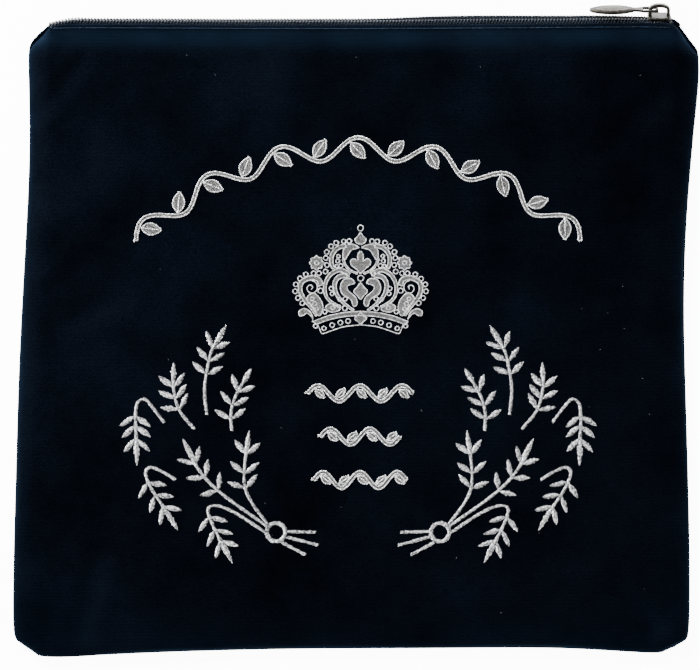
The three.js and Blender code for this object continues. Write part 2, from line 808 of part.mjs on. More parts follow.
for (const [sideName, side] of [['left', -1], ['right', 1]]) {
  wheatEars.forEach((ear, index) => {
    const points = [0, 1, 2, 3].map((step) => spot(side, ear['x' + step], ear['y' + step]));
    const plates = join(wheatEar(points, ear.low, ear.high));
    addPiece(`wheat_ear_${sideName}_${index + 1}`, layOnVelvet(plates), silverThread);
  });
  addPiece(`wheat_bunch_${sideName}`, layOnVelvet(wheatBunch(side)), silverThread);
}

function crown() {
  const middleX = crownMiddle * bagWidth + motifAxis;
  const footY = crownFoot * bagHeight;
  const place = (side, out, up) => flat(middleX + side * out * crownWidth / 2, footY + up * crownHeight);
  const rightHalf = crownOutline.map((row) => place(1, row.out, row.up));
  const leftHalf = crownOutline.slice(1, -1).reverse().map((row) => place(-1, row.out, row.up));
  const curve = new THREE.CatmullRomCurve3([...rightHalf, ...leftHalf], true, 'catmullrom', 0.3);
  const outline = new THREE.Shape(curve.getPoints(crownOutline.length * 3));
  for (const opening of crownWindows) {
    for (const side of opening.out === 0 ? [1] : [-1, 1]) {
      const centre = place(side, opening.out, opening.up);
      const hole = new THREE.Path();
      const halfOut = opening.halfOut * crownWidth / 2;
      hole.absellipse(centre.x, centre.y, halfOut, opening.halfUp * crownHeight, 0, 2 * Math.PI, true);
      outline.holes.push(hole);
    }
  }
  return join([plate(outline, threadHeight, 7)]);
}

addPiece('crown', layOnVelvet(crown()), silverThread);

// A leafy border: a waving stem with one leaf in each bay
class WavingCurve extends THREE.Curve {
  constructor(pathAt, waves, swing) {
    super();
    this.pathAt = pathAt;
    this.waves = waves;
    this.swing = swing;
  }

  getPoint(share) {
    const { point, side } = this.pathAt(share);
    return point.addScaledVector(side, this.swing * Math.sin(share * this.waves * Math.PI));
  }
}

function leafyBorder(pathAt, waves, swing, length, width) {
  const curve = new WavingCurve(pathAt, waves, swing);
  const parts = [ribbon(curve, waves * stemStepsPerWave, stemWidth)];
  for (let wave = 0; wave < waves; wave++) {
    const bay = wave % 2 === 0 ? -1 : 1;
    parts.push(leafFrom(curve, (wave + vineLeafPlace) / waves, bay * vineLeafTurn, length, width));
  }
  return layOnVelvet(join(parts));
}

function archPath(share) {
  const half = THREE.MathUtils.degToRad(archHalfAngle);
  const angle = Math.PI / 2 + half - 2 * half * share;
  const side = flat(Math.cos(angle), Math.sin(angle));
  const centre = flat(motifAxis, archHeight * bagHeight - archRadius);
  return { point: centre.addScaledVector(side, archRadius), side };
}

addPiece('vine_arch', leafyBorder(archPath, archWaves, archSwing, archLeaf, archLeafWidth), silverThread);

rows.forEach((row, index) => {
  const rowPath = (share) => ({
    point: flat((row.x + row.length * (share - 0.5)) * bagWidth, row.y * bagHeight),
    side: flat(0, 1),
  });
  const border = leafyBorder(rowPath, row.waves, rowSwing, rowLeaf, rowLeafWidth);
  addPiece(`vine_row_${index + 1}`, border, silverThread);
});

export default bag;
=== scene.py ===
"""A navy velvet zip bag with silver embroidery, lying on its back."""
import json
import math

import bmesh
import bpy
import numpy as np
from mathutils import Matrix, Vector
from mathutils.bvhtree import BVHTree


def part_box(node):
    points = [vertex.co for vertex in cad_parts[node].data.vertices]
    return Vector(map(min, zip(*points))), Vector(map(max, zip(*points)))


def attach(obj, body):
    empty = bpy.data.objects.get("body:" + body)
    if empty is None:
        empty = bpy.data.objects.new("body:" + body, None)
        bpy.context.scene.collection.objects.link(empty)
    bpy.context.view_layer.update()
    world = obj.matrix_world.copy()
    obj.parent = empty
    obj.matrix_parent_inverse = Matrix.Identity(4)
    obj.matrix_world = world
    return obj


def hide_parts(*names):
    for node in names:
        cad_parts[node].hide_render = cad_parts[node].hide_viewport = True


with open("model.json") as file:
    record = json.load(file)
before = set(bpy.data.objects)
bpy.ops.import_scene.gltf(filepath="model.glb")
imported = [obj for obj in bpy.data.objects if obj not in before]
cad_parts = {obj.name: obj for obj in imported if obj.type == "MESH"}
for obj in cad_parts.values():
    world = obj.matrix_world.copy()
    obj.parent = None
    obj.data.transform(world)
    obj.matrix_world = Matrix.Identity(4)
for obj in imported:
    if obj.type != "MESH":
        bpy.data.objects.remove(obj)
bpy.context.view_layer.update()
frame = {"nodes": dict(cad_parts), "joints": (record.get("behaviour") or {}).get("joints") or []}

MM = 0.001
FORM_SEED = 7
BAG_LOW, BAG_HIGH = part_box("front_panel")
BAG_WIDTH = BAG_HIGH.x - BAG_LOW.x

# Photograph: how many millimetres of bag one pixel shows, and the pixel over the frame's origin
MM_PER_PIXEL = 0.468
PHOTO_WIDTH_PX = 700
PHOTO_HEIGHT_PX = 670
ORIGIN_PX = (356.0, 335.5)

# Camera and lights: places and sizes in metres, power in watts
LENS_MM = 250.0
SENSOR_MM = 36.0
LOOK_HEIGHT = 3 * MM
FARTHEST_SEEN = 10
WORLD_LIGHT = 0.5
STUDIO_LIGHTS = {
    "key": dict(place=(-0.8, 1.1, 0.95), size=(0.35, 0.35), power=95),
    "side": dict(place=(-1.5, -0.2, 0.3), size=(0.6, 0.3), power=36),
    "fill": dict(place=(1.1, -0.5, 0.9), size=(0.7, 0.7), power=14),
}
FLOOR_REACH = 3.0
FLOOR_GREY = (0.93, 0.93, 0.93, 1)
FLOOR_GLOW = 11.0
WHITE = (1, 1, 1, 1)


def camera_over_bag():
    """Looks straight down through a long lens, so that the frame's width takes in the bag."""
    data = bpy.data.cameras.new("camera")
    data.lens = LENS_MM
    data.sensor_width = SENSOR_MM
    data.clip_end = FARTHEST_SEEN
    camera = bpy.data.objects.new("camera", data)
    bpy.context.scene.collection.objects.link(camera)
    distance = PHOTO_WIDTH_PX * MM_PER_PIXEL * MM * LENS_MM / SENSOR_MM
    centre_x = (PHOTO_WIDTH_PX / 2 - ORIGIN_PX[0]) * MM_PER_PIXEL * MM
    centre_y = (ORIGIN_PX[1] - PHOTO_HEIGHT_PX / 2) * MM_PER_PIXEL * MM
    camera.location = (centre_x, centre_y, LOOK_HEIGHT + distance)
    bpy.context.scene.camera = camera


def studio_light(name, place, size, power):
    """A soft rectangular light turned to the bag."""
    data = bpy.data.lights.new(name, "AREA")
    data.shape = "RECTANGLE"
    data.size, data.size_y = size
    data.energy = power
    light = bpy.data.objects.new(name, data)
    light.location = place
    light.rotation_euler = (-Vector(place)).to_track_quat("-Z", "Y").to_euler()
    bpy.context.scene.collection.objects.link(light)


def studio():
    world = bpy.data.worlds.new("studio")
    world.use_nodes = True
    world.node_tree.nodes["Background"].inputs["Color"].default_value = WHITE
    world.node_tree.nodes["Background"].inputs["Strength"].default_value = WORLD_LIGHT
    bpy.context.scene.world = world
    for name, light in STUDIO_LIGHTS.items():
        studio_light(name, **light)


def lit_floor():
    """White paper under the bag, which gives off light so that it stays white around the dark cloth."""
    mesh = bpy.data.meshes.new("floor")
    corners = [(x * FLOOR_REACH, y * FLOOR_REACH, 0) for x, y in ((-1, -1), (1, -1), (1, 1), (-1, 1))]
    mesh.from_pydata(corners, [], [(0, 1, 2, 3)])
    floor = bpy.data.objects.new("floor", mesh)
    bpy.context.scene.collection.objects.link(floor)
    paper = Shading("white_paper", Base_Color=FLOOR_GREY, Roughness=0.9, Emission_Color=WHITE,
                    Emission_Strength=FLOOR_GLOW)
    mesh.materials.append(paper.material)


# Node trees

VECTOR, COLOUR = "NodeSocketVector", "NodeSocketColor"
GEOMETRY, MATERIAL = "NodeSocketGeometry", "NodeSocketMaterial"
SOCKET_KINDS = {float: "NodeSocketFloat", int: "NodeSocketInt", tuple: COLOUR}


class Nodes:
    """A node tree, with short calls that add nodes and join them."""

    def __init__(self, tree):
        self.tree = tree

    def join(self, value, socket):
        """Links another node's output to a socket, or sets the socket to a plain value."""
        if isinstance(value, bpy.types.NodeSocket):
            self.tree.links.new(value, socket)
        else:
            socket.default_value = value

    def fill(self, node, inputs):
        for name, value in inputs.items():
            self.join(value, node.inputs[name.replace("_", " ")])

    def node(self, kind, settings=None, **inputs):
        node = self.tree.nodes.new(kind)
        for name, value in (settings or {}).items():
            setattr(node, name, value)
        self.fill(node, inputs)
        return node

    def worked_out(self, kind, operation, *values):
        """A math node's result, from its values in the order of its sockets."""
        node = self.node(kind, {"operation": operation})
        for value, socket in zip(values, node.inputs):
            self.join(value, socket)
        return node.outputs[0]

    def math(self, operation, *values):
        return self.worked_out("ShaderNodeMath", operation, *values)

    def noise(self, place, **inputs):
        return self.node("ShaderNodeTexNoise", None, Vector=place, **inputs).outputs["Fac"]

    def stretched(self, value, **limits):
        """A value's range stretched to run from 0 to 1, or between other limits."""
        return self.node("ShaderNodeMapRange", None, Value=value, **limits).outputs["Result"]

    def blended(self, factor, first, second):
        """The first colour going over to the second as the factor goes from 0 to 1."""
        node = self.node("ShaderNodeMix", {"data_type": "RGBA"}, Factor=factor)
        self.join(first, node.inputs[6])
        self.join(second, node.inputs[7])
        return node.outputs[2]

    def bumped(self, height, strength, distance):
        node = self.node("ShaderNodeBump", None, Strength=strength, Distance=distance, Height=height)
        return node.outputs["Normal"]


class Group(Nodes):
    """A node group. Inputs are named, with their usual values or a kind of socket."""

    def __init__(self, kind, name, inputs, outputs):
        super().__init__(bpy.data.node_groups.new(name, kind))
        for label, value in inputs.items():
            socket_kind = value if isinstance(value, str) else SOCKET_KINDS[type(value)]
            socket = self.tree.interface.new_socket(label, in_out="INPUT", socket_type=socket_kind)
            if socket_kind != value:
                socket.default_value = value
        for label, socket_kind in outputs.items():
            self.tree.interface.new_socket(label, in_out="OUTPUT", socket_type=socket_kind)
        self.source = self.tree.nodes.new("NodeGroupInput")
        self.result = self.tree.nodes.new("NodeGroupOutput")

    def given(self, label):
        return self.source.outputs[label]


class Shading(Nodes):
    """A material: its shader's constants are given by name."""

    def __init__(self, name, **constants):
        self.material = bpy.data.materials.new(name)
        self.material.use_nodes = True
        super().__init__(self.material.node_tree)
        self.surface(**constants)

    def surface(self, **inputs):
        """What goes into the shader's own sockets."""
        self.fill(self.tree.nodes["Principled BSDF"], inputs)

    def group(self, tree, **inputs):
        return self.node("ShaderNodeGroup", {"node_tree": tree}, **inputs).outputs

    def place(self):
        return self.node("ShaderNodeTexCoord").outputs["Object"]


# Finishes


def pile_group():
    """Velvet nap: soft light and dark clouds, fine ribs and the grain of single tufts."""
    pile = Group("ShaderNodeTree", "velvet_pile",
                 {"Place": VECTOR, "Dark": (0.0004, 0.0006, 0.0011, 1.0),
                  "Light": (0.0017, 0.0027, 0.0052, 1.0), "Rib Height": 0.35},
                 {"Color": COLOUR, "Normal": VECTOR})
    place = pile.given("Place")
    clouds = pile.noise(place, Scale=22.0, Detail=4.0, Roughness=0.6)
    grain = pile.noise(place, Scale=1500.0, Detail=2.0, Roughness=0.7)
    ribs = pile.node("ShaderNodeTexWave", {"bands_direction": "Y"},
                     Vector=place, Scale=190.0, Distortion=1.2, Detail=2.0).outputs["Fac"]
    tone = pile.stretched(pile.math("MULTIPLY", clouds, grain), From_Min=0.14, From_Max=0.42)
    rough = pile.math("MULTIPLY_ADD", ribs, pile.given("Rib Height"), grain)
    pile.fill(pile.result, {"Color": pile.blended(tone, pile.given("Dark"), pile.given("Light")),
                            "Normal": pile.bumped(rough, 0.5, 0.3 * MM)})
    return pile.tree


def strand_group():
    """Twisted thread: fine strands in painted shade and painted highlight, lighter along the crests of
    their bumps.
    """
    twist = Group("ShaderNodeTree", "thread_strands",
                  {"Place": VECTOR, "Shadow": (0.3, 0.3, 0.3, 1.0), "Shine": (0.8, 0.8, 0.8, 1.0),
                   "Scale": 1200.0},
                  {"Color": COLOUR, "Normal": VECTOR})
    strands = twist.noise(twist.given("Place"), Scale=twist.given("Scale"), Detail=3.0)
    tone = twist.stretched(strands, From_Min=0.35, From_Max=0.62)
    twist.fill(twist.result, {"Color": twist.blended(tone, twist.given("Shadow"), twist.given("Shine")),
                              "Normal": twist.bumped(strands, 0.4, 0.1 * MM)})
    return twist.tree


PILE = pile_group()
STRANDS = strand_group()
# Painted sheen: the lighter, bluer velvet colour painted where the nap's sheen shows
PAINTED_SHEEN_COLOUR = (0.003, 0.0075, 0.0155, 1)
SHEEN_BLUE = (0.24, 0.37, 0.6, 1)


def velvet():
    """Dark pile, with a bluer colour painted in as sheen where the mesh carries a share of it, broken up by
    noise.
    """
    cloth = Shading("navy_velvet", Roughness=0.9, Sheen_Weight=0.035, Sheen_Roughness=0.34,
                    Sheen_Tint=SHEEN_BLUE, Specular_IOR_Level=0.0)
    pile = cloth.group(PILE, Place=cloth.place())
    painted_sheen = cloth.node("ShaderNodeAttribute", {"attribute_name": "painted_sheen"}).outputs["Fac"]
    share = cloth.math("MULTIPLY", painted_sheen, cloth.noise(cloth.place(), Scale=38.0, Detail=5.0))
    cloth.surface(Base_Color=cloth.blended(share, pile["Color"], PAINTED_SHEEN_COLOUR), Normal=pile["Normal"])
    return cloth.material


def thread(name, shadow, shine, roughness, metallic, specular=0.5):
    """Thread whose strands run from a shadow colour to a shine colour."""
    yarn = Shading(name, Roughness=roughness, Metallic=metallic, Specular_IOR_Level=specular)
    strands = yarn.group(STRANDS, Place=yarn.place(), Shadow=(*shadow, 1), Shine=(*shine, 1))
    yarn.surface(Base_Color=strands["Color"], Normal=strands["Normal"])
    return yarn.material


def nylon():
    """The coils' nylon: nearly black, a little mottled."""
    wire = Shading("dark_nylon", Roughness=0.45, Specular_IOR_Level=0.06)
    mottle = wire.stretched(wire.noise(wire.place(), Scale=900.0, Detail=2.0), From_Min=0.3, From_Max=0.7)
    wire.surface(Base_Color=wire.blended(mottle, (0.002, 0.004, 0.008, 1), (0.006, 0.009, 0.016, 1)))
    return wire.material


def woven_tape():
    """The zip tapes' cloth: a fine check of dark threads."""
    tape = Shading("zip_tape_weave", Roughness=0.85, Sheen_Weight=0.02, Specular_IOR_Level=0.05)
    weave = tape.node("ShaderNodeTexChecker", None, Vector=tape.place(), Scale=2600.0,
                      Color1=(0.001, 0.0022, 0.005, 1), Color2=(0.003, 0.006, 0.012, 1)).outputs
    tape.surface(Base_Color=weave["Color"], Normal=tape.bumped(weave["Fac"], 0.5, 0.2 * MM))
    return tape.material


def nickel():
    """Dull plated metal, worn in small patches."""
    metal = Shading("worn_nickel", Metallic=1.0)
    wear = metal.noise(metal.place(), Scale=420.0, Detail=6.0)
    tone = metal.stretched(wear, From_Min=0.35, From_Max=0.65)
    metal.surface(Base_Color=metal.blended(tone, (0.014, 0.0128, 0.0105, 1), (0.045, 0.041, 0.034, 1)),
                  Roughness=metal.stretched(wear, To_Min=0.5, To_Max=0.64),
                  Normal=metal.bumped(wear, 0.15, 0.1 * MM))
    return metal.material


camera_over_bag()
studio()
lit_floor()
VELVET = velvet()
TAPE = woven_tape()
NYLON = nylon()
NICKEL = nickel()
BRIGHT_THREAD = thread("bright_silver_thread", (0.16, 0.16, 0.165), (0.95, 0.95, 0.96), 0.3, 0.7)
# Wheat thread: the same strands with deeper painted shade between them
WHEAT_THREAD = thread("twisted_silver_thread", (0.045, 0.043, 0.047), (0.9, 0.9, 0.92), 0.3, 0.7)
GREY_THREAD = thread("grey_silver_thread", (0.04, 0.04, 0.042), (0.15, 0.148, 0.145), 0.42, 0.4)
NAVY_THREAD = thread("navy_sewing_thread", (0.002, 0.004, 0.008), (0.008, 0.016, 0.03), 0.7, 0.0,
                     specular=0.02)

# Mesh helpers

WELD = 0.001 * MM
PAIRED_TURN = 60
PAIRED_SKEW = 70


def only_material(mesh, material):
    mesh.materials.clear()
    mesh.materials.append(material)
    mesh.polygons.foreach_set("material_index", [0] * len(mesh.polygons))


def carry(mesh, label, values):
    """Gives each point of a mesh its own number or vector."""
    values = np.asarray(values, float)
    kind, field = ("FLOAT_VECTOR", "vector") if values.ndim == 2 else ("FLOAT", "value")
    mesh.attributes.new(label, kind, "POINT").data.foreach_set(field, values.ravel())


def add_piece(name, mesh, material=None, body="bag", nodes=()):
    """Links a finished mesh as a piece of the bag, in place of the CAD nodes it stands for."""
    piece = bpy.data.objects.new(name, mesh)
    bpy.context.scene.collection.objects.link(piece)
    if material:
        only_material(mesh, material)
    mesh.polygons.foreach_set("use_smooth", [True] * len(mesh.polygons))
    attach(piece, body)
    if nodes:
        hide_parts(*nodes)


def settled(mesh, modifiers):
    """The mesh that a list of (modifier type, settings) makes of this one, applied."""
    holder = bpy.data.objects.new("holder", mesh)
    bpy.context.scene.collection.objects.link(holder)
    for kind, settings in modifiers:
        modifier = holder.modifiers.new(kind, kind)
        for key, value in settings.items():
            setattr(modifier, key, value)
    scene_graph = bpy.context.evaluated_depsgraph_get()
    result = bpy.data.meshes.new_from_object(holder.evaluated_get(scene_graph))
    bpy.data.objects.remove(holder)
    return result


def paired_mesh(node):
    """The node's mesh with its doubled corners welded and its triangles paired into quads."""
    mesh = frame["nodes"][node].data.copy()
    form = bmesh.new()
    form.from_mesh(mesh)
    bmesh.ops.remove_doubles(form, verts=form.verts, dist=WELD)
    bmesh.ops.join_triangles(form, faces=form.faces, angle_face_threshold=math.radians(PAIRED_TURN),
                             angle_shape_threshold=math.radians(PAIRED_SKEW))
    form.to_mesh(mesh)
    form.free()
    return mesh


def corners_of(mesh):
    places = np.empty(len(mesh.vertices) * 3)
    mesh.vertices.foreach_get("co", places)
    return places.reshape(-1, 3)


def set_corners(mesh, places):
    mesh.vertices.foreach_set("co", places.ravel())
    mesh.update()


def surface_tree(mesh):
    return BVHTree.FromPolygons([v.co for v in mesh.vertices], [p.vertices for p in mesh.polygons])


# Zip chain paths

ROW_CORNERS = 6
CHAIN_STEP = 1.0 * MM
COIL_PITCH = 1.5 * MM
COIL_WIDTH = 3.0 * MM
PAST_ANY_END = 10.0


def through(values, steps):
    """Values read smoothly between rows of a table, at fractional row numbers (Catmull-Rom)."""
    rows = np.asarray(values, float)
    if rows.ndim == 1:
        return through(rows[:, None], steps)[:, 0]
    first = np.clip(np.floor(steps).astype(int), 0, len(rows) - 2)
    share = (steps - first)[:, None]
    before, start, end, after = (rows[np.clip(first + k, 0, len(rows) - 1)] for k in (-1, 0, 1, 2))
    return 0.5 * (2 * start + (end - before) * share
                  + (2 * before - 5 * start + 4 * end - after) * share ** 2
                  + (3 * start - before - 3 * end + after) * share ** 3)


def run_lengths(points):
    """How far along a line each of its points lies."""
    return np.r_[0, np.cumsum(np.linalg.norm(np.diff(points, axis=0), axis=1))]


def unit(rows):
    return rows / np.linalg.norm(rows, axis=1, keepdims=True)


def row_sections(node):
    """A coil row's six-cornered sections, from the bag's left to its right."""
    corners = corners_of(paired_mesh(node))
    return corners[np.argsort(corners[:, 0])].reshape(-1, ROW_CORNERS, 3)


class Chain:
    """The zip's run: its two rows, the way from the back row to the front row, and row widths."""

    def __init__(self):
        front, back = row_sections("zip_coil_front"), row_sections("zip_coil_back")
        front_middle, back_middle = front.mean(axis=1), back.mean(axis=1)
        wide = unit(front_middle - back_middle)
        widths = np.ptp(np.einsum("rck,rk->rc", front, wide), axis=1)
        lengths = run_lengths((front_middle + back_middle) / 2)
        count = int(lengths[-1] / CHAIN_STEP)
        steps = np.interp(np.linspace(0, lengths[-1], count), lengths, np.arange(len(lengths)))
        self.front, self.back = through(front_middle, steps), through(back_middle, steps)
        self.wide = unit(through(wide, steps))
        self.width = through(widths, steps)


CHAIN = Chain()

# Velvet panels

FRONT_LEVELS = 3
BACK_LEVELS = 2
# Soft creases of the front panel: where they start and end, depth and half width, all in mm
CREASES = [
    dict(start=(-128, 127), end=(-150, 101), depth=1.1, width=3.4),
    dict(start=(-124, 56), end=(-150, 35), depth=0.7, width=4.2),
    dict(start=(-112, 19), end=(-139, 3), depth=0.7, width=5.0),
    dict(start=(-26, 47), end=(-44, 10), depth=0.35, width=6.0),
    dict(start=(-120, -103), end=(-128, -140), depth=0.8, width=4.4),
    dict(start=(142, 112), end=(114, 87), depth=0.8, width=4.6),
    dict(start=(128, 5), end=(100, -4), depth=0.5, width=5.0),
    dict(start=(120, -112), end=(140, -136), depth=0.7, width=4.0),
]
# Beside each crease the cloth stands up: by what share of the depth, how far out and how wide,
# in half widths of the crease
SHOULDER_RISE = 0.45
SHOULDER_PLACE = 2.1
SHOULDER_WIDTH = 0.9
# The topstitched fold under the zip: how far below the panel's edge it runs, depth and half width
TOPSTITCH_DROP = 2.1 * MM
TOPSTITCH_DEPTH = 0.75 * MM
TOPSTITCH_WIDTH = 1.9 * MM
TOPSTITCH_FROM = -142 * MM
TOPSTITCH_TO = 148 * MM
TOPSTITCH_STEP = 2 * MM
EDGE_BLUR = 9
# Painted sheen: heights of the rim, and the lighter band below the stitched line
RIM_SHEEN_TOP = 11 * MM
RIM_SHEEN_FADE = 9 * MM
BAND_SHEEN_DROP = 4.5 * MM
BAND_SHEEN_WIDTH = 4.5 * MM
BAND_SHEEN_SHARE = 0.75
# The back panel is painted with the sheen colour all over, at this share
BACK_PAINTED_SHEEN = 0.7


def crease_depth(places):
    """How far each place sinks for the creases, in metres."""
    depth = np.zeros(len(places))
    for crease in CREASES:
        start = np.array(crease["start"]) * MM
        run = np.array(crease["end"]) * MM - start
        share = np.clip(((places[:, :2] - start) @ run) / (run @ run), 0, 1)
        away = np.linalg.norm(places[:, :2] - start - share[:, None] * run, axis=1) / (crease["width"] * MM)
        shoulder = SHOULDER_RISE * np.exp(-((away - SHOULDER_PLACE) / SHOULDER_WIDTH) ** 2)
        depth += crease["depth"] * MM * (np.exp(-away ** 2) - shoulder)
    return depth


def cloth_panel(node, levels):
    """The CAD panel's closed wall, rounded, and let out again to the panel's own width and height."""
    mesh = settled(paired_mesh(node), [("SUBSURF", dict(levels=levels, render_levels=levels))])
    places = corners_of(mesh)
    low, high = (np.array(corner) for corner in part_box(node))
    for axis in (0, 1):
        ends = places[:, axis].min(), places[:, axis].max()
        places[:, axis] = np.interp(places[:, axis], ends, (low[axis], high[axis]))
    set_corners(mesh, places)
    return mesh


def topstitch_line(places):
    """The stitched line under the zip, in metres: it keeps one distance from the panel's upper edge."""
    across = np.arange(TOPSTITCH_FROM, TOPSTITCH_TO, TOPSTITCH_STEP)
    edge = [places[np.abs(places[:, 0] - x) < 2 * TOPSTITCH_STEP, 1].max() for x in across]
    padded = np.pad(edge, EDGE_BLUR // 2, mode="edge")
    even = np.convolve(padded, np.ones(EDGE_BLUR) / EDGE_BLUR, mode="valid")
    return np.c_[across, even - TOPSTITCH_DROP]


def topstitch_depth(places, line):
    """How far each place on the panel's outer side sinks along the stitched line, in metres."""
    away = np.abs(places[:, 1] - np.interp(places[:, 0], line[:, 0], line[:, 1])) / TOPSTITCH_WIDTH
    within = (places[:, 0] > TOPSTITCH_FROM) & (places[:, 0] < TOPSTITCH_TO)
    return TOPSTITCH_DEPTH * np.exp(-away ** 2) * within


def painted_sheen_share(places, line):
    """How much painted sheen each place gets, 0 to 1: at the rim and below the stitched line."""
    rim = np.clip((RIM_SHEEN_TOP - places[:, 2]) / RIM_SHEEN_FADE, 0, 1) ** 2
    below = np.interp(places[:, 0], line[:, 0], line[:, 1]) - places[:, 1] - BAND_SHEEN_DROP
    band = BAND_SHEEN_SHARE * np.exp(-(below / BAND_SHEEN_WIDTH) ** 2)
    return np.clip(rim + band, 0, 1)


front_mesh = cloth_panel("front_panel", FRONT_LEVELS)
front_places = corners_of(front_mesh)
TOPSTITCH = topstitch_line(front_places)
front_places[:, 2] -= crease_depth(front_places) + topstitch_depth(front_places, TOPSTITCH)
set_corners(front_mesh, front_places)
# Each place of the front panel carries its share of painted sheen; the back panel carries one share all
# over
carry(front_mesh, "painted_sheen", painted_sheen_share(front_places, TOPSTITCH))
back_mesh = cloth_panel("back_panel", BACK_LEVELS)
carry(back_mesh, "painted_sheen", np.full(len(back_mesh.vertices), BACK_PAINTED_SHEEN))
FRONT_SURFACE = surface_tree(front_mesh)

add_piece("velvet_front", front_mesh, VELVET, nodes=("front_panel",))
add_piece("velvet_back", back_mesh, VELVET, nodes=("back_panel",))

# Geometry node trees


class Growing(Group):
    """A geometry node tree that sets a shape along a path. Its sizes are given by name."""

    def __init__(self, name, **sizes):
        inputs = {"Geometry": GEOMETRY, **sizes, "Material": MATERIAL}
        super().__init__("GeometryNodeTree", name, inputs, {"Geometry": GEOMETRY})

    def stored(self, label):
        """A number that the path's points carry."""
        node = self.node("GeometryNodeInputNamedAttribute", {"data_type": "FLOAT"}, Name=label)
        return node.outputs["Attribute"]

    def stored_way(self, label):
        """A direction that the path's points carry."""
        node = self.node("GeometryNodeInputNamedAttribute", {"data_type": "FLOAT_VECTOR"}, Name=label)
        return node.outputs["Attribute"]

    def vector(self, x, y, z):
        return self.node("ShaderNodeCombineXYZ", None, X=x, Y=y, Z=z).outputs["Vector"]

    def swept(self, curve, radius, sides):
        """A curve as a round wire."""
        ring = self.node("GeometryNodeCurvePrimitiveCircle", None, Radius=radius, Resolution=sides)
        tube = self.node("GeometryNodeCurveToMesh", None, Curve=curve, Profile_Curve=ring.outputs["Curve"],
                         Fill_Caps=True)
        return tube.outputs["Mesh"]

    def bowed_thread(self, start, end, points, sides):
        """One thread, bowed up in its middle and dipping into the cloth at its ends."""
        dip = self.math("MULTIPLY", self.given("Dip"), -1.0)
        top = self.math("MULTIPLY", self.given("Bow"), 2.0)
        bow = self.node("GeometryNodeCurveQuadraticBezier", None, Resolution=points,
                        Start=self.vector(*start, dip), Middle=self.vector(0.0, 0.0, top),
                        End=self.vector(*end, dip))
        return self.swept(bow.outputs["Curve"], self.given("Thread"), sides)

    def path(self):
        """The path as a curve."""
        return self.node("GeometryNodeMeshToCurve", None, Mesh=self.given("Geometry")).outputs["Curve"]

    def spaced(self, curve):
        """The curve's points, one pitch apart."""
        node = self.node("GeometryNodeResampleCurve", {"mode": "LENGTH"}, Curve=curve,
                         Length=self.given("Pitch"))
        return node.outputs["Curve"]

    def turned(self, primary_axis, primary, secondary_axis, secondary):
        node = self.node("FunctionNodeAxesToRotation",
                         {"primary_axis": primary_axis, "secondary_axis": secondary_axis})
        self.join(primary, node.inputs[0])
        self.join(secondary, node.inputs[1])
        return node.outputs["Rotation"]

    def run(self):
        """The way along the path."""
        return self.node("GeometryNodeInputTangent").outputs["Tangent"]

    def slanted(self, share):
        """Threads face as the cloth does and follow the path, swung aside by a share of their length."""
        run, face = self.run(), self.stored_way("face")
        across = self.worked_out("ShaderNodeVectorMath", "CROSS_PRODUCT", run, face)
        way = self.worked_out("ShaderNodeVectorMath", "MULTIPLY_ADD", across, share, run)
        return self.turned("Z", face, "Y", way)

    def chance(self, least, most):
        """A number of its own for every thread, between two limits."""
        node = self.node("FunctionNodeRandomValue", {"data_type": "FLOAT"}, Seed=self.given("Seed"))
        self.join(least, node.inputs[2])
        self.join(most, node.inputs[3])
        return node.outputs[1]

    def finish(self, points, shape, rotation, scale):
        """Sets the shape on every point, makes it one mesh and gives it the material."""
        laid = self.node("GeometryNodeInstanceOnPoints", None, Points=points, Instance=shape,
                         Rotation=rotation, Scale=scale)
        real = self.node("GeometryNodeRealizeInstances", None, Geometry=laid.outputs["Instances"])
        dressed = self.node("GeometryNodeSetMaterial", None, Geometry=real.outputs["Geometry"],
                            Material=self.given("Material"))
        self.join(dressed.outputs["Geometry"], self.result.inputs["Geometry"])
        return self.tree


def path_mesh(paths):
    """Open paths as one mesh of edges. Each path is its points and a dict of what they carry."""
    mesh = bpy.data.meshes.new("paths")
    points = np.concatenate([points for points, carried in paths])
    edges, start = [], 0
    for line, carried in paths:
        edges += [(start + k, start + k + 1) for k in range(len(line) - 1)]
        start += len(line)
    mesh.from_pydata(points.tolist(), edges, [])
    for label in paths[0][1]:
        carry(mesh, label, np.concatenate([np.asarray(carried[label], float) for line, carried in paths]))
    return mesh


def grown(mesh, tree, material, **inputs):
    """The mesh that a node tree grows on a mesh of paths or points."""
    holder = bpy.data.objects.new("holder", mesh)
    bpy.context.scene.collection.objects.link(holder)
    modifier = holder.modifiers.new("growing", "NODES")
    modifier.node_group = tree
    inputs["Material"] = material
    for socket in tree.interface.items_tree:
        if socket.in_out == "INPUT" and socket.name in inputs:
            modifier[socket.identifier] = inputs[socket.name]
    scene_graph = bpy.context.evaluated_depsgraph_get()
    result = bpy.data.meshes.new_from_object(holder.evaluated_get(scene_graph))
    bpy.data.objects.remove(holder)
    only_material(result, material)
    return result


def coil_tree():
    """A coil of wire along a path: one turn to a pitch, wide across the row and flat the other way."""
    coil = Growing("zip_coil", Pitch=COIL_PITCH, Wire=0.32 * MM, Width=COIL_WIDTH, Height=1.8 * MM,
                   Start=0.0, End=PAST_ANY_END)
    cut = coil.node("GeometryNodeTrimCurve", {"mode": "LENGTH"}, Curve=coil.path())
    coil.join(coil.given("Start"), cut.inputs[4])
    coil.join(coil.given("End"), cut.inputs[5])
    turn = coil.node("GeometryNodeCurveSpiral", None, Resolution=12, Rotations=1.0, Start_Radius=0.5,
                     End_Radius=0.5, Height=coil.given("Pitch"))
    flat = coil.node("GeometryNodeTransform", None, Geometry=turn.outputs["Curve"],
                     Scale=coil.vector(coil.given("Width"), coil.given("Height"), 1.0))
    wire = coil.swept(flat.outputs["Geometry"], coil.given("Wire"), 6)
    rotation = coil.turned("Z", coil.run(), "X", coil.stored_way("wide"))
    narrow = coil.vector(coil.stored("narrow"), 1.0, 1.0)
    return coil.finish(coil.spaced(cut.outputs["Curve"]), wire, rotation, narrow)


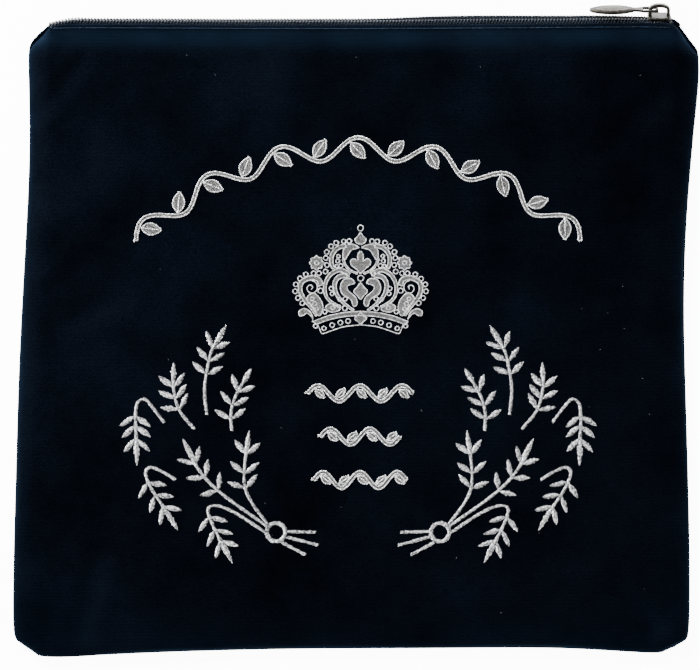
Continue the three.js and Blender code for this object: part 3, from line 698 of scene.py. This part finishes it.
def satin_tree():
    """Satin stitch: threads laid side by side across a path, each bowed over the cloth."""
    satin = Growing("satin_stitch", Pitch=0.5 * MM, Thread=0.25 * MM, Bow=0.5 * MM, Dip=0.25 * MM,
                    Slant=0.35, Ragged=0.22, Seed=FORM_SEED)
    thread = satin.bowed_thread((-1.0, 0.0), (1.0, 0.0), points=5, sides=4)
    rotation = satin.slanted(satin.given("Slant"))
    least = satin.math("SUBTRACT", 1.0, satin.given("Ragged"))
    most = satin.math("ADD", 1.0, satin.given("Ragged"))
    reach = satin.math("MULTIPLY", satin.stored("half_width"), satin.chance(least, most))
    return satin.finish(satin.spaced(satin.path()), thread, rotation, satin.vector(reach, 1.0, 1.0))


def running_tree():
    """Outline stitch: threads laid end to end along a path, each a little turned and bowed."""
    running = Growing("outline_stitch", Pitch=0.9 * MM, Thread=0.27 * MM, Length=0.72 * MM,
                      Bow=0.35 * MM, Dip=0.1 * MM, Turn=0.22, Least=0.86, Most=1.14, Seed=FORM_SEED)
    back = running.math("MULTIPLY", running.given("Length"), -1.0)
    thread = running.bowed_thread((0.0, back), (0.0, running.given("Length")), points=4, sides=5)
    rotation = running.slanted(running.given("Turn"))
    size = running.chance(running.given("Least"), running.given("Most"))
    even = running.vector(size, size, size)
    return running.finish(running.spaced(running.path()), thread, rotation, even)


def laid_tree():
    """Threads laid one to a point, each with its own way, half length and place to face."""
    laid = Growing("laid_thread", Thread=0.24 * MM, Bow=0.16 * MM, Dip=0.12 * MM)
    thread = laid.bowed_thread((-1.0, 0.0), (1.0, 0.0), points=4, sides=4)
    rotation = laid.turned("Z", laid.stored_way("face"), "X", laid.stored_way("way"))
    reach = laid.vector(laid.stored("half_width"), 1.0, 1.0)
    return laid.finish(laid.given("Geometry"), thread, rotation, reach)


# Zip chain

ROW_OVERLAP = 0.35 * MM
CHAIN_TRIM = 6

COIL = coil_tree()
narrow = (CHAIN.width + ROW_OVERLAP) / COIL_WIDTH
for row, places, start in (("front", CHAIN.front, 0.0), ("back", CHAIN.back, COIL_PITCH / 2)):
    carried = {"wide": CHAIN.wide[:-CHAIN_TRIM], "narrow": narrow[:-CHAIN_TRIM]}
    coil_mesh = grown(path_mesh([(places[:-CHAIN_TRIM], carried)]), COIL, NYLON, Start=start)
    add_piece(f"coil_wire_{row}", coil_mesh, nodes=(f"zip_coil_{row}",))

# Embroidery

SATIN = satin_tree()
OUTLINE = running_tree()
LAID = laid_tree()
MOTIF_AXIS = 1.0
LAY_FROM = 100 * MM
THREAD_LIFT = 0.2 * MM
LINE_STEP = 0.4
LEAST_HALF_WIDTH = 0.1
# A leaf's width follows a half wave, cut short at both ends and made fuller by a power
SPINDLE_SPAN = (0.06, 0.96)
SPINDLE_BELLY = 0.75
SPINDLE_POINTS = 20


def on_velvet(points):
    """Places in mm over the front panel, laid on the velvet: where they land and the way it faces."""
    landed, faces = [], []
    down = Vector((0, 0, -1))
    for x, y in points:
        place, normal, _, _ = FRONT_SURFACE.ray_cast(Vector((x * MM, y * MM, LAY_FROM)), down)
        landed.append(place + normal * THREAD_LIFT)
        faces.append(normal)
    return np.array(landed), np.array(faces)


def flowing(points):
    """A smooth line through a few points in mm, as points a step apart."""
    points = np.asarray(points, float)
    lengths = run_lengths(points)
    count = max(3, int(lengths[-1] / LINE_STEP) + 1)
    steps = np.interp(np.linspace(0, lengths[-1], count), lengths, np.arange(len(points)))
    return through(points, steps)


def looped(points):
    """A smooth closed line through a few points in mm."""
    ring = np.asarray(points, float)
    wrapped = np.vstack((ring[-2:], ring, ring[:3]))
    lengths = run_lengths(np.vstack((ring, ring[:1])))
    count = max(8, int(lengths[-1] / LINE_STEP))
    steps = np.interp(np.linspace(0, lengths[-1], count), lengths, np.arange(len(ring) + 1))
    return through(wrapped, steps + 2)


def lying(line):
    """A path along a line in mm, laid on the velvet."""
    places, faces = on_velvet(line)
    return places, {"face": faces}


def band(line, half_widths):
    """A path for satin stitch: half widths in mm, one for the whole line or one for each point."""
    places, carried = lying(line)
    widths = np.maximum(half_widths, LEAST_HALF_WIDTH) * MM
    return places, {"half_width": np.broadcast_to(widths, len(line)), **carried}


def spindle(root, tip, width):
    """A leaf that swells in the middle and ends in two points."""
    shares = np.linspace(*SPINDLE_SPAN, SPINDLE_POINTS)
    return band(np.linspace(root, tip, SPINDLE_POINTS), width / 2 * np.sin(np.pi * shares) ** SPINDLE_BELLY)


def turned_by(direction, degrees):
    angle = math.radians(degrees)
    x, y = direction
    return np.array((x * math.cos(angle) - y * math.sin(angle), x * math.sin(angle) + y * math.cos(angle)))


# Wheat: stems in mm from the motifs' middle line outwards and up, and where leaf pairs leave each stem
FREE_EARS = [
    dict(stem=[(70.4, -36.6), (71.4, -24.8), (69.5, -12.1), (67.3, -5.4), (61.3, 4.6)],
         pairs=(0.42, 0.57, 0.72)),
    dict(stem=[(76.2, -43.5), (83.3, -34.5), (85.9, -24.1), (85.7, -12.7)], pairs=(0.34, 0.5, 0.66)),
    dict(stem=[(90.4, -40.4), (96, -33), (99.4, -29.7), (102.7, -31.5), (103.6, -37.5), (103.3, -48.7),
               (103, -60.3)], pairs=(0.51, 0.62, 0.74)),
    dict(stem=[(85.2, -67), (91.5, -63.3), (96.8, -61.4), (99, -64.4), (96, -71.8), (90, -80.8),
               (84.1, -90.5)], pairs=(0.46, 0.59, 0.73)),
    dict(stem=[(58.8, -44.1), (59.1, -36), (56.8, -27.8), (49.7, -15.5)], pairs=(0.18, 0.38, 0.6)),
]
TIED_EARS = [
    dict(stem=[(42.7, -88.6), (63.9, -73.3), (74.4, -62.1), (81.5, -48.1)], pairs=(0.48, 0.63, 0.77)),
    dict(stem=[(42.3, -87.5), (49, -78.6), (52.7, -70.3), (52.7, -59.9), (50.6, -44.4)],
         pairs=(0.42, 0.58, 0.76)),
    dict(stem=[(43.4, -91.6), (56.5, -83), (65.4, -79.3), (69.9, -80.8), (67.7, -88.3), (63.2, -97.2),
               (58.7, -105.8)], pairs=(0.6, 0.7, 0.8)),
]
STALKS = [[(33, -91.3), (19.9, -91.6)], [(33, -93.9), (18.8, -97.6)], [(35.2, -96.5), (24.7, -102.1)]]
STALK_HALF_WIDTH = 0.8
RING_CENTRE = (38.2, -91.6)
RING_RADIUS = 4.3
RING_HALF_WIDTH = 0.95
STEM_HALF_WIDTH = 0.75
LEAF_CLEAR = 1.0
LEAF_LENGTH = 8.5
LEAF_WIDTH = 2.6
LEAF_TURNS = (55, 50, 44)
BARE_STEM = 0.86
TIP_LEAF = 0.74


def mirrored(points, side):
    """Points given outwards from the motifs' middle line, on its right (1) or its left (-1)."""
    return [(MOTIF_AXIS + side * x, y) for x, y in points]


def ear_paths(ear, side):
    stem = flowing(mirrored(ear["stem"], side))
    count = len(stem) - 1
    bare = stem[:int(BARE_STEM * count) + 1]
    paths = [band(bare, STEM_HALF_WIDTH), spindle(stem[int(TIP_LEAF * count)], stem[-1], LEAF_WIDTH)]
    for share, turn in zip(ear["pairs"], LEAF_TURNS):
        place = int(share * count)
        way = stem[place + 1] - stem[place - 1]
        way = way / np.linalg.norm(way)
        for hand in (-1, 1):
            leaf = turned_by(way, hand * turn)
            root, tip = stem[place] + LEAF_CLEAR * leaf, stem[place] + LEAF_LENGTH * leaf
            paths.append(spindle(root, tip, LEAF_WIDTH))
    return paths


def around(centre, reach, angles):
    """Points about a centre, at one reach or a reach for each angle."""
    return np.c_[centre[0] + reach * np.cos(angles), centre[1] + reach * np.sin(angles)]


def circle(centre, radius, steps):
    return around(centre, radius, np.radians(np.linspace(0, 360, steps)))


def bunch_paths(side):
    paths = [path for ear in TIED_EARS for path in ear_paths(ear, side)]
    paths += [band(flowing(mirrored(stalk, side)), STALK_HALF_WIDTH) for stalk in STALKS]
    paths.append(band(circle(mirrored([RING_CENTRE], side)[0], RING_RADIUS, steps=40), RING_HALF_WIDTH))
    return paths


for side_name, side in (("left", -1), ("right", 1)):
    for index, ear in enumerate(FREE_EARS):
        name = f"wheat_ear_{side_name}_{index + 1}"
        ear_mesh = grown(path_mesh(ear_paths(ear, side)), SATIN, WHEAT_THREAD, Seed=FORM_SEED + index)
        add_piece(f"stitched_{name}", ear_mesh, nodes=(name,))
    name = f"wheat_bunch_{side_name}"
    bunch_mesh = grown(path_mesh(bunch_paths(side)), SATIN, WHEAT_THREAD)
    add_piece(f"stitched_{name}", bunch_mesh, nodes=(name,))


FILL_PITCH = 0.42
FILL_ANGLE = 32
LONGEST_FILL = 2.6
SHORTEST_FILL = 0.3


def fill_threads(outline):
    """Laid threads that fill a closed line: rows of (middle, way, half length) in mm."""
    turn = math.radians(FILL_ANGLE)
    way = np.array((math.cos(turn), math.sin(turn)))
    over = np.array((-way[1], way[0]))
    along, across = outline @ way, outline @ over
    next_along, next_across = np.roll(along, -1), np.roll(across, -1)
    rows = []
    for level in np.arange(across.min() + FILL_PITCH / 2, across.max(), FILL_PITCH):
        crossing = (across > level) != (next_across > level)
        share = (level - across[crossing]) / (next_across[crossing] - across[crossing])
        ends = np.sort(along[crossing] + share * (next_along[crossing] - along[crossing]))
        for start, end in zip(ends[::2], ends[1::2]):
            pieces = max(1, math.ceil((end - start) / LONGEST_FILL))
            for piece in range(pieces):
                low = start + (end - start) * piece / pieces
                high = start + (end - start) * (piece + 1) / pieces
                if high - low > SHORTEST_FILL:
                    rows.append(((low + high) / 2 * way + level * over, way, (high - low) / 2))
    return rows


def fill_points(rows):
    """The laid threads' points, as one mesh of bare vertices that carry their way and reach."""
    middles = [row[0] for row in rows]
    places, faces = on_velvet(middles)
    mesh = bpy.data.meshes.new("threads")
    mesh.from_pydata(places.tolist(), [], [])
    ways = np.array([(*row[1], 0.0) for row in rows])
    carry(mesh, "way", ways - faces * np.sum(ways * faces, axis=1, keepdims=True))
    carry(mesh, "face", faces)
    carry(mesh, "half_width", np.array([row[2] for row in rows]) * MM)
    return mesh


def joined_mesh(name, meshes):
    """Several meshes as one, with their materials kept face by face."""
    form = bmesh.new()
    materials = []
    for mesh in meshes:
        first = len(form.faces)
        form.from_mesh(mesh)
        form.faces.ensure_lookup_table()
        materials.append(mesh.materials[0])
        for face in form.faces[first:]:
            face.material_index = len(materials) - 1
    whole = bpy.data.meshes.new(name)
    form.to_mesh(whole)
    form.free()
    for material in materials:
        whole.materials.append(material)
    return whole


def strip(line, start_half_width, end_half_width):
    """A closed line round a stroke that follows a line, tapering to its end."""
    run = unit(np.gradient(line, axis=0))
    side = np.c_[-run[:, 1], run[:, 0]]
    widths = np.linspace(start_half_width, end_half_width, len(line))[:, None]
    return np.vstack((line + side * widths, (line - side * widths)[::-1]))


def closed(line):
    return np.vstack((line, line[:1]))


def embroider(name, node, outlines, fills, **outline_inputs):
    """One motif: bright outline stitches and grey filling, joined as one piece."""
    points = fill_points([row for outline in fills for row in fill_threads(outline)])
    paths = path_mesh([lying(line) for line in outlines])
    outline_mesh = grown(paths, OUTLINE, BRIGHT_THREAD, **outline_inputs)
    whole = joined_mesh(name, [outline_mesh, grown(points, LAID, GREY_THREAD)])
    add_piece(name, whole, nodes=(node,))


# Crown: forms in mm outwards from its middle line and up from its foot

CROWN_FOOT = (2.1, 0.8)
PEARL_RADIUS = 1.0
PEARLS_PER_STRING = 8
PEARL_STRINGS = [
    [(5.3, 43.0), (11.8, 42.0), (16.0, 37.3), (15.6, 31.6), (16.3, 28.9)],
    [(19.3, 28.1), (25.8, 27.4), (30.2, 22.6), (29.8, 18.0), (27.0, 14.2)],
]
# Closed forms on both sides of the crown
SIDE_FORMS = {
    "horn": [(1.0, 40.0), (3.0, 41.3), (5.6, 41.4), (7.7, 39.4), (8.2, 36.0), (7.4, 34.4), (6.0, 36.4),
             (4.2, 38.9)],
    "inner_scroll": [(3.0, 23.6), (3.8, 25.2), (5.6, 25.7), (8.0, 24.8), (9.3, 21.8), (8.6, 18.8),
                     (6.4, 17.2), (4.4, 15.8), (3.6, 13.5), (2.6, 12.8), (1.6, 14.2), (2.3, 16.8),
                     (4.0, 18.4), (5.9, 20.2), (6.3, 22.0), (5.0, 22.8)],
    "outer_leaf": [(24.1, 17.8), (21.6, 18.8), (18.8, 16.2), (17.5, 12.4), (18.6, 8.8), (20.3, 9.0),
                   (22.8, 12.7), (24.9, 15.7)],
    "hook": [(22.2, 7.2), (23.3, 10.0), (26.1, 11.7), (28.6, 10.3), (28.2, 8.4), (26.6, 8.6), (25.0, 9.6),
             (23.4, 8.6)],
    "eye": [(16.2, 12.4), (14.0, 14.0), (11.4, 13.4), (9.6, 11.4), (12.0, 10.2), (14.6, 10.4)],
}
# Strokes on both sides: a band along a line, with its half width at the start and the end
SIDE_STROKES = {
    "upper_arch": dict(start=0.85, end=0.7, filled=True, line=[
        (6.8, 40.9), (10.6, 39.8), (13.1, 36.8), (13.6, 33.4), (12.6, 30.4)]),
    "horn_stem": dict(start=0.4, end=0.3, filled=False, line=[
        (8.1, 34.6), (7.2, 32.2), (5.0, 29.6), (1.6, 28.0)]),
    "outer_band": dict(start=0.9, end=0.4, filled=True, line=[
        (5.2, 27.6), (9.4, 29.6), (13.4, 28.0), (15.9, 24.6), (16.6, 20.8), (15.8, 17.2), (13.4, 14.6),
        (9.4, 12.4)]),
    "inner_band": dict(start=1.0, end=0.35, filled=True, line=[
        (6.4, 27.1), (10.0, 26.4), (12.0, 23.4), (11.3, 18.8), (8.3, 14.7), (3.4, 10.9)]),
    "outer_volute": dict(start=1.0, end=0.6, filled=True, line=[
        (18.4, 22.6), (19.6, 25.2), (23.1, 26.0), (27.2, 24.0), (28.0, 20.2), (26.2, 16.2), (23.0, 12.4),
        (20.4, 8.7)]),
}
# Middle forms, given by their right half from bottom to top
MIDDLE_FORMS = {
    "fleur": [(0, 28.2), (2.0, 30.1), (4.2, 31.9), (4.5, 33.9), (3.0, 34.8), (1.2, 33.7), (1.3, 36.3),
              (0, 38.2)],
    "lower_diamond": [(0, 16.2), (1.5, 17.8), (3.1, 19.7), (1.6, 21.6), (0, 23.5)],
    "finial_drop": [(0, 41.5), (1.9, 42.4), (2.5, 43.9), (1.2, 45.3), (0, 46.9)],
    "band_diamond": [(0, 4.5), (1.4, 5.8), (2.7, 7.1), (1.4, 8.5), (0, 9.8)],
}
FOOT_BAND_TOP = [(0, 10.4), (7.4, 9.9), (15.0, 8.3), (22.0, 5.7)]
FOOT_BAND_BOTTOM = [(19.6, 3.6), (18.9, 2.0), (17.6, 0.1), (12.9, 1.6), (7.4, 3.3), (0, 4.1)]
FOOT_STRIP = [(0, 8.6), (7.4, 8.0), (14.6, 6.5), (20.4, 4.4)]
# Beads: across, up and radius. Those on the middle line come once, the others on both sides.
BEADS = [
    (0.0, 49.1, 1.3), (0.0, 25.8, 1.3), (12.9, 12.1, 0.9), (10.3, 36.0, 0.7), (10.6, 33.8, 0.8),
    (9.2, 31.6, 0.9), (11.0, 31.4, 0.7), (13.6, 21.0, 0.9), (13.2, 18.6, 0.8), (7.2, 16.2, 0.9),
    (9.8, 16.0, 0.7), (18.6, 20.0, 1.1), (7.3, 11.9, 1.1), (16.6, 10.2, 0.9), (22.5, 16.2, 0.8),
    (21.3, 14.0, 0.9), (20.4, 11.6, 0.7), (20.9, 3.6, 0.9), (17.0, 2.5, 0.9), (13.2, 4.0, 1.0),
    (9.4, 5.2, 1.0), (5.8, 5.9, 1.0),
]
BEAD_STEPS = 20
ROSETTE = dict(middle=(20.4, 32.9), radius=2.9, petals=8, scallop=0.32, eye=0.9, steps=80)
CURL = dict(middle=(23.0, 21.3), start=0.5, end=3.6, turns=1.35, from_angle=200, steps=60)


def crown_line(points, side):
    """Points on one side of the crown, in mm on the bag."""
    return np.array([(CROWN_FOOT[0] + side * x, CROWN_FOOT[1] + y) for x, y in points])


def crown_spot(spot, side):
    return crown_line([spot], side)[0]


def rosette_line(side):
    angles = np.linspace(0, 2 * math.pi, ROSETTE["steps"], endpoint=False)
    reach = ROSETTE["radius"] + ROSETTE["scallop"] * np.cos(ROSETTE["petals"] * angles)
    return around(crown_spot(ROSETTE["middle"], side), reach, angles)


def curl_line(side):
    shares = np.linspace(0, 1, CURL["steps"])
    angles = np.radians(CURL["from_angle"] - 360 * CURL["turns"] * shares)
    reach = CURL["start"] + (CURL["end"] - CURL["start"]) * shares
    return crown_line(around(CURL["middle"], reach, angles), side)


def across_middle(points):
    """A line from the crown's left end to its right, from its right half's points."""
    left, right = (flowing(crown_line(points, side)) for side in (-1, 1))
    return np.vstack((left[::-1], right[1:]))


def middle_shapes():
    """The forms that the crown's middle line crosses: closed lines, their fillings and open lines."""
    lines = []
    for points in MIDDLE_FORMS.values():
        right, left = crown_line(points, 1), crown_line(points[1:-1], -1)[::-1]
        lines.append(looped(np.vstack((right, left))))
    right, left = (flowing(crown_line(FOOT_BAND_BOTTOM, side)) for side in (1, -1))
    top, under = across_middle(FOOT_BAND_TOP), across_middle(FOOT_STRIP)
    foot = closed(np.vstack((top, right, left[::-1][1:])))
    return [closed(line) for line in lines] + [foot, under], lines + [np.vstack((top, under[::-1]))]


def side_shapes(side):
    """One side's outlines and fillings: forms, strokes, strings of pearls, beads, rosette and curl."""
    forms = [looped(crown_line(points, side)) for points in SIDE_FORMS.values()]
    outlines, fills = [closed(line) for line in forms], list(forms)
    for stroke in SIDE_STROKES.values():
        line = strip(flowing(crown_line(stroke["line"], side)), stroke["start"], stroke["end"])
        outlines.append(closed(line))
        if stroke["filled"]:
            fills.append(line)
    for string in PEARL_STRINGS:
        thread = flowing(crown_line(string, side))
        for share in np.linspace(0, 1, PEARLS_PER_STRING):
            outlines.append(circle(thread[int(share * (len(thread) - 1))], PEARL_RADIUS, BEAD_STEPS))
    for x, y, radius in BEADS:
        if x or side > 0:
            outlines.append(circle(crown_spot((x, y), side), radius, BEAD_STEPS))
    rosette = rosette_line(side)
    eye = circle(crown_spot(ROSETTE["middle"], side), ROSETTE["eye"], BEAD_STEPS)
    return outlines + [closed(rosette), eye, curl_line(side)], fills + [rosette]


def crown_shapes():
    outlines, fills = middle_shapes()
    for side in (-1, 1):
        side_outlines, side_fills = side_shapes(side)
        outlines += side_outlines
        fills += side_fills
    return outlines, fills


crown_outlines, crown_fills = crown_shapes()
embroider("stitched_crown", "crown", crown_outlines, crown_fills,
          Pitch=0.62 * MM, Thread=0.2 * MM, Length=0.5 * MM)

# Leafy vines

ARCH = dict(centre_y=-59.1, radius=146, half_angle=45, waves=13, swing=5, leaf=11, width=5.4)
ROWS_MIDDLE = 1.9
ROWS = [dict(y=-26.9, length=48.8, waves=5), dict(y=-47.0, length=36.9, waves=4),
        dict(y=-67.2, length=43.0, waves=5)]
ROW_VINE = dict(swing=3.6, leaf=6.9, width=3.0)
VINE_HALF_WIDTH = 0.7
STEPS_PER_WAVE = 40
LEAF_GAP = 1.6
LEAF_TURN = 80
LEAF_PLACE = 0.28
VEIN_START = 0.12
VEIN_END = 0.8
VEIN_POINTS = 12
# A vine leaf's width follows a half wave, widest just past its middle and made fuller by a power
LEAF_SKEW = 0.9
LEAF_BELLY = 0.85
LEAF_POINTS = 24


def waving(path_at, waves, swing):
    """The points of a stem that waves about a path, whose path_at gives a place and a side."""
    points = []
    for share in np.linspace(0, 1, waves * STEPS_PER_WAVE):
        place, side = path_at(share)
        points.append(place + side * swing * math.sin(share * waves * math.pi))
    return np.array(points)


def leaf_line(root, tip, width):
    along = tip - root
    side = np.array((-along[1], along[0])) / np.linalg.norm(along) * width / 2
    shares = np.linspace(0, 1, LEAF_POINTS)[:, None]
    swell = np.sin(math.pi * shares ** LEAF_SKEW) ** LEAF_BELLY
    middle = root + shares * along
    return np.vstack((middle + swell * side, (middle - swell * side)[::-1][1:-1]))


def vine_shapes(path_at, waves, swing, leaf, width):
    """A waving stem, with a leaf and its vein in the hollow of each wave: outlines and fillings."""
    stem = waving(path_at, waves, swing)
    stem_line = strip(stem, VINE_HALF_WIDTH, VINE_HALF_WIDTH)
    outlines, fills = [closed(stem_line)], [stem_line]
    for wave in range(waves):
        place = int((wave + LEAF_PLACE) / waves * (len(stem) - 1))
        way = unit((stem[place + 1] - stem[place - 1])[None])[0]
        way = turned_by(way, -LEAF_TURN if wave % 2 == 0 else LEAF_TURN)
        root, tip = stem[place] + way * LEAF_GAP, stem[place] + way * leaf
        line = leaf_line(root, tip, width)
        vein = np.linspace(root + (tip - root) * VEIN_START, root + (tip - root) * VEIN_END, VEIN_POINTS)
        outlines += [closed(line), vein]
        fills.append(line)
    return outlines, fills


def arch_path(share):
    angle = math.radians(90 + ARCH["half_angle"] * (1 - 2 * share))
    side = np.array((math.cos(angle), math.sin(angle)))
    return np.array((MOTIF_AXIS, ARCH["centre_y"])) + side * ARCH["radius"], side


def row_path(row):
    """The straight path of one row, as a function of the share along it."""
    def path_at(share):
        place = np.array((ROWS_MIDDLE + row["length"] * (share - 0.5), row["y"]))
        return place, np.array((0.0, 1.0))
    return path_at


arch_vine = {size: ARCH[size] for size in ("waves", "swing", "leaf", "width")}
embroider("stitched_vine_arch", "vine_arch", *vine_shapes(arch_path, **arch_vine))
for number, row in enumerate(ROWS, 1):
    row_shapes = vine_shapes(row_path(row), waves=row["waves"], **ROW_VINE)
    embroider(f"stitched_vine_row_{number}", f"vine_row_{number}", *row_shapes)

# Topstitching and lint

STITCH_PITCH = 3.0
STITCH_LENGTH = 2.1
STITCH_POINTS = 4
LINT_COUNT = 30
LINT_SEED = 4
LINT_LENGTH = 0.5
LINT_REACH = 0.44
LINT_BEND = 0.3
LINT_SIZES = (0.4, 1.2)


def topstitch_paths():
    """One short path for every stitch, in mm on the panel."""
    line = TOPSTITCH / MM
    starts = np.arange(line[0, 0], line[-1, 0] - STITCH_LENGTH, STITCH_PITCH)
    paths = []
    for start in starts:
        across = np.linspace(start, start + STITCH_LENGTH, STITCH_POINTS)
        paths.append(lying(np.c_[across, np.interp(across, line[:, 0], line[:, 1])]))
    return paths


def lint_paths():
    """Stray fibres, each bent a little, scattered over the velvet."""
    chance = np.random.default_rng(LINT_SEED)
    reach = LINT_REACH * BAG_WIDTH / MM
    paths = []
    for middle in chance.uniform(-reach, reach, (LINT_COUNT, 2)):
        bend, turn = chance.uniform(-LINT_BEND, LINT_BEND), chance.uniform(0, 360)
        fibre = np.array([(-LINT_LENGTH / 2, 0), (0, bend), (LINT_LENGTH / 2, 0)])
        fibre *= chance.uniform(*LINT_SIZES)
        paths.append(lying([middle + turned_by(point, turn) for point in fibre]))
    return paths


stitches = grown(path_mesh(topstitch_paths()), OUTLINE, NAVY_THREAD,
                 Pitch=STITCH_LENGTH * MM, Thread=0.24 * MM, Length=STITCH_LENGTH / 2 * MM, Turn=0.04)
add_piece("topstitching", stitches)
lint = grown(path_mesh(lint_paths()), OUTLINE, GREY_THREAD,
             Pitch=0.3 * MM, Thread=0.05 * MM, Length=0.2 * MM, Bow=0.05 * MM)
add_piece("lint", lint)

# Zip tapes, slider and pull

TAPE_LEVELS = 2
METAL_VOXEL = 0.14 * MM
METAL_ROUNDING = dict(factor=0.5, iterations=6)
# The pull's oval plate, and the way of its hinge pin across it
PLATE_LENGTH = 21.4 * MM
PLATE_WIDTH = 8.4 * MM
PULL_SWING = next(joint for joint in frame["joints"] if joint["name"] == "pull_swing")
PIN_WAY = np.array(PULL_SWING["axis"])
# The plate's relief: where its rim runs and where the relief ends, as shares of the oval's size
RIM_PLACE = 0.8
RIM_SPREAD = 0.1
RIM_RISE = 0.22 * MM
FACE_DIP = 0.12 * MM
FACE_DOME = 0.75 * MM
RELIEF_END = 1.02
FACE_BLEND = 0.3 * MM


def rounded_metal(node):
    """The CAD part's own body with its corners worn round."""
    return settled(paired_mesh(node), [("REMESH", dict(mode="VOXEL", voxel_size=METAL_VOXEL)),
                                       ("SMOOTH", METAL_ROUNDING)])


def rim_pull(mesh):
    """Raises a rounded rim and a low dome on both faces of the pull's plate."""
    places = corners_of(mesh)
    middle_x = places[:, 0].min() + PLATE_LENGTH / 2
    from_centre = places - places[np.abs(places[:, 0] - middle_x) < PLATE_LENGTH / 4].mean(axis=0)
    run = unit((np.array((1.0, 0.0, 0.0)) - PIN_WAY * PIN_WAY[0])[None])[0]
    face = np.cross(run, PIN_WAY)
    out = np.hypot(from_centre @ run / (PLATE_LENGTH / 2), from_centre @ PIN_WAY / (PLATE_WIDTH / 2))
    rise = RIM_RISE * np.exp(-((out - RIM_PLACE) / RIM_SPREAD) ** 2)
    rise -= FACE_DIP * (out < RIM_PLACE) * (1 - (out / RIM_PLACE) ** 4)
    rise += FACE_DOME * np.clip(1 - out ** 2, 0, 1)
    side = np.clip(from_centre @ face / FACE_BLEND, -1, 1)
    set_corners(mesh, places + (rise * side * (out < RELIEF_END))[:, None] * face)
    return mesh


for row in ("front", "back"):
    node = f"zip_tape_{row}"
    tape_mesh = settled(paired_mesh(node),
                        [("SUBSURF", dict(levels=TAPE_LEVELS, render_levels=TAPE_LEVELS))])
    add_piece(f"woven_tape_{row}", tape_mesh, TAPE, nodes=(node,))
add_piece("nickel_slider", rounded_metal("zip_slider"), NICKEL, nodes=("zip_slider",))
add_piece("nickel_pull", rim_pull(rounded_metal("zip_pull")), NICKEL, body="zip_pull",
          nodes=("zip_pull",))
